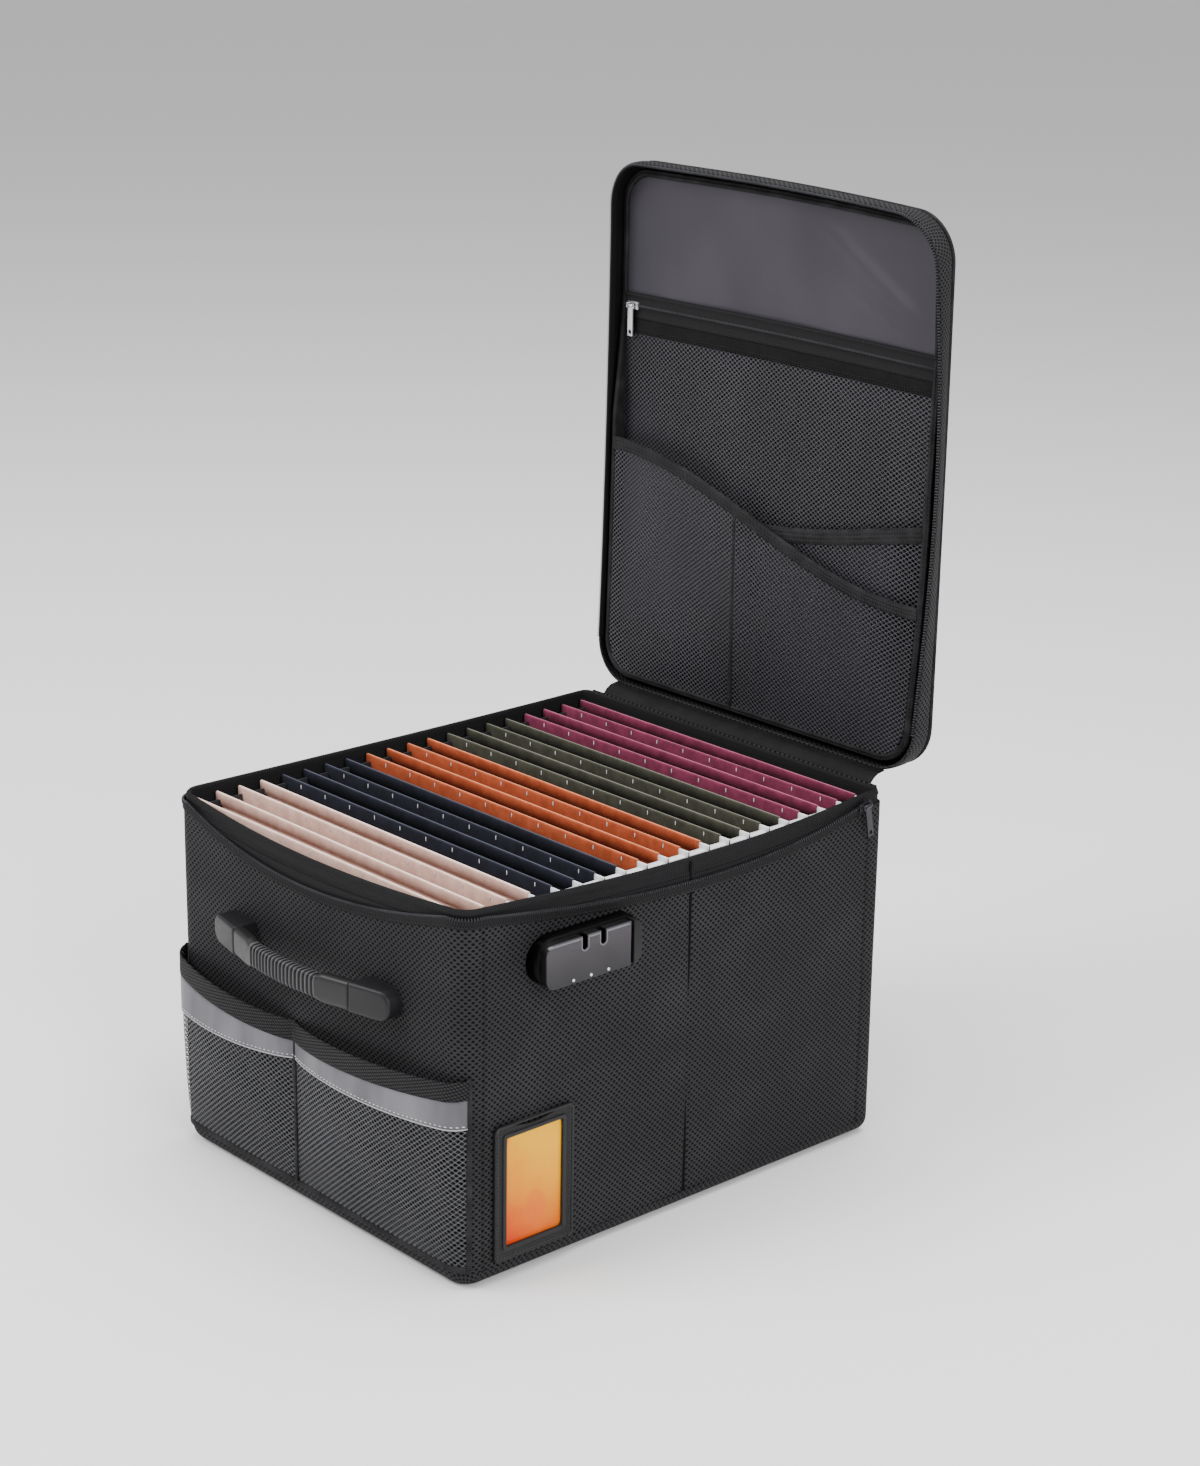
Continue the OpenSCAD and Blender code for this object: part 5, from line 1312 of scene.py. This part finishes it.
band_across("lid_pocket_zip_band", zip_face, band_section[::-1], zip_tape, "zip_black", "lid_pocket_zip")
band_across("lid_pocket_hem", zip_mesh_y, hem_section, facing, "pocket_mesh")
row("lid_pocket_coil", across_panel(zip_face - 1.0, 0), to_front, 1.4, (0.9, 2.6, 0.9), teeth_metal,
    "lid", "zip_black")
row("lid_pocket_zip_stitches", across_panel(zip_face - 0.55, 8.0, -8.0, -9.6), to_front, 3.0,
    (2.2, 0.45, 0.4), thread_black, "lid", "zip_black")
row("lid_pocket_hem_stitches", across_panel(zip_mesh_y - 1.1, -20.4, -18.5), to_front, 2.8, (2.0, 0.5, 0.4),
    thread_black, "lid", "pocket_mesh")
for part, edge in (("slider", 0.5), ("pull", 0.45)):
    softened("lid_pocket_zip_" + part, "lid_pocket_" + part, edge, pull_silver, "pocket_" + part,
             "pull_silver", 3)
    for hand in ("_left", "_right"):
        softened("main_" + part + hand, "zip_" + part + hand, edge, slider_metal, part + hand,
                 "slider_metal", 3)
print("sliders dressed")

# %% [markdown]
# ## Hinge gusset
# A strip of smooth cloth joins the back panel to the lid's lower edge. It is a real sheet
# of cloth.

# %% Hinge gusset
def gusset():
    path = np.array([(0.9, 252), (1.0, 258), (1.2, 264), (1.6, 269), (3.2, 273.2), (6.2, 276.6), (10, 278.8),
                     (14, 279.6), (17.4, 279.9)]) + np.array([half_d, 0])
    stops = np.arange(len(path))
    ys, zs = (np.interp(np.linspace(0, len(path) - 1, 25), stops, path[:, k]) for k in (0, 1))
    grid = np.array([[[x, y, z + 0.25 * math.sin(x / 17) * math.sin(math.pi * (z - 252) / 28)]
                      for y, z in zip(ys, zs)] for x in np.linspace(-flat_w, flat_w, 60)])
    length = float(np.linalg.norm(np.diff(np.column_stack([ys, zs]), axis=0), axis=1).sum())
    piece = thicken(skin("hinge_cloth", grid, gusset_cloth, flip=True), 0.9)
    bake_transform(piece)
    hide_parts("hinge_gusset")
    return length


print("gusset length, mm:", round(gusset(), 1))

# %% [markdown]
# ## Hanging folders
# Ten folders hang from two rails. Each is one sheet of card: it goes over the front rod,
# down, across the bottom, up, and over the rear rod. Light ticks near the top are the
# slits for index tabs.

# %% Folders
sleeve_half, sheet_t, panel_reach, rod_reach = 1.3, 0.8, 147, 156.5
# each folder's colours: dark and light felt, and the painted highlight along its top folds
folder_looks = {"pink": ("#bf9a8c", "#dab8aa", "#efdccf"), "navy": ("#0f1018", "#1d1f2b", "#4a4c5a"),
                "orange": ("#8a3a1c", "#ae5130", "#cf8a66"), "olive": ("#2c2c24", "#424136", "#76746a"),
                "burgundy": ("#5a1d33", "#7d2f4b", "#a9667e")}


def folder_path(front, rear, top, foot):
    """The sheet from the front sleeve's inner edge, over, down, across, up and over the rear sleeve."""
    over_front = [(front + sleeve_half * math.cos(t), top - sleeve_half + sleeve_half * math.sin(t))
                  for t in np.linspace(0, math.pi, 7)]
    down = [(front - sleeve_half, top - 8), (front - sleeve_half + 0.3, top - 12), (front, top - 20)]
    down += [(front, z) for z in np.linspace(top - 40, foot + 10, 8)]
    fold = [(front + 1.5, foot + 4), (front + 5, foot + 0.6), (rear - 5, foot + 0.6), (rear - 1.5, foot + 4)]
    half = [(front + sleeve_half, top - 9.2)] + over_front + down
    mirrored = [(front + rear - y, z) for y, z in reversed(half)]
    return np.array(half + fold + mirrored)


def folder(number, finish, slot):
    name = f"folder_{number:02d}"
    low, high = cad(name)
    front, rear, rod_z = low[1] + 1.7, high[1] - 1.7, high[2] - 5.2
    path = folder_path(front, rear, high[2] - 0.1, low[2])
    xs = np.linspace(-rod_reach, panel_reach, 50)
    wave = 0.35 * np.sin(xs / 37 + number)[:, None] * np.sin((path[:, 1] - low[2]) / 70)[None, :]
    grid = np.zeros((len(xs), len(path), 3))
    grid[..., 0], grid[..., 1], grid[..., 2] = xs[:, None], path[None, :, 0] + wave, path[None, :, 1]
    settle(thicken(skin(name + "_card", grid, finish, flip=True), sheet_t - 0.1), name, slot, name)
    for spot, y in (("front", front), ("rear", rear)):
        # white tips only at the right ends; the rods' left ends keep the dark rod steel, as painted shade
        for part, start, width, thick, metal in (("rod", 0.5 - rod_reach, 7.0, 0.9, rod_steel),
                                                 ("tip", panel_reach - 2, 8.0, 1.8, rail_white)):
            line = [[x, y, rod_z] for x in np.linspace(start, rod_reach, 3)]
            sweep(f"{name}_{part}_{spot}", line, (0, 1, 0), strap(width, thick, 6), metal, name, slot)
    ticks = np.array([[x, front - sleeve_half - 0.3, high[2] - 3.6] for x in (-132, 132)])
    row(name + "_ticks", [ticks], to_front, 29.3, (1.1, 4.6, 0.5), thread_white, name, slot)


sample = folder_path(0, 19.8, 269, 34)
sample_run = np.concatenate([[0], np.cumsum(np.linalg.norm(np.diff(sample, axis=0), axis=1))])
top_folds = (sample_run[4], sample_run[-1] - sample_run[4])
for pair, (colour, inks) in enumerate(folder_looks.items()):
    finish = folder_card("folder " + colour, *inks, top_folds)
    for number in (2 * pair + 1, 2 * pair + 2):
        folder(number, finish, "folder_" + colour)
rail_low, rail_high = cad("rail_right")
lip = [[151.6, y, rail_high[2] - 0.3] for y in np.linspace(rail_low[1] + 2, rail_high[1] - 2, 40)]
sweep("rail_right_lip", lip, (0, 0, 1), strap(7, 1.2), rail_white, "box", "rail_metal")
print("folders:", number, "in", len(folder_looks), "colours, sheet length", round(float(sample_run[-1])))

# %% [markdown]
# ## What stays from the model
# Boards, rails, plates, screws and the other hidden parts have the right shape already.
# They only need their real finish; the left rail takes the dark rod steel instead of the right rail's white,
# as painted shade.

# %% Finishes for the kept nodes
# painted shade: the left rail gets dark rod steel, the right rail white enamel
kept = {"lining": box_lining, "rail_left": rod_steel, "rail_right": rail_white}
kept.update(dict.fromkeys(("end_boards", "side_boards", "bottom_board", "lid_board"), board_card))
kept.update(dict.fromkeys(("handle_plates", "fixing_screws", "lock_plate", "lock_axle", "lock_latch"), steel))
for node, finish in kept.items():
    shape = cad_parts[node]
    shape.data.materials.clear()
    shape.data.materials.append(finish.material)
shown = [n for n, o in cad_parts.items() if not o.hide_render]
print("nodes that still show:", sorted(set(shown) - set(kept)))

# %% [markdown]
# ## Stage and light
# The box stands on a plain pale floor under soft studio light: a large lamp from the upper
# left, a weaker one from the right, and one overhead that draws the edges.

# %% Floor and lamps
def lamp(name, place, size, power):
    light = bpy.data.lights.new(name, "AREA")
    light.size, light.energy = size, power
    piece = add_piece(name, light)
    piece.location = place
    piece.rotation_euler = (Vector((0, 0, 0.25)) - Vector(place)).to_track_quat("-Z", "Y").to_euler()


floor_finish = Finish("floor", Roughness=0.9, Base_Color=(0.86, 0.86, 0.86, 1))
floor_corners = [[60000 * x, 60000 * y, -0.3] for x, y in ((-1, -1), (1, -1), (1, 1), (-1, 1))]
mesh_piece("floor", floor_corners, [(0, 1, 2, 3)], None, floor_finish)
lamp("key", (-1.2, -2.4, 2.6), 1.8, 120)
lamp("side", (2.8, -0.6, 1.6), 1.6, 75)
lamp("top", (0.2, 0.4, 2.8), 2.2, 90)
world = bpy.data.worlds.new("studio")
world.use_nodes = True
world.node_tree.nodes["Background"].inputs["Color"].default_value = (1, 1, 1, 1)
world.node_tree.nodes["Background"].inputs["Strength"].default_value = 0.65
bpy.context.scene.world = world
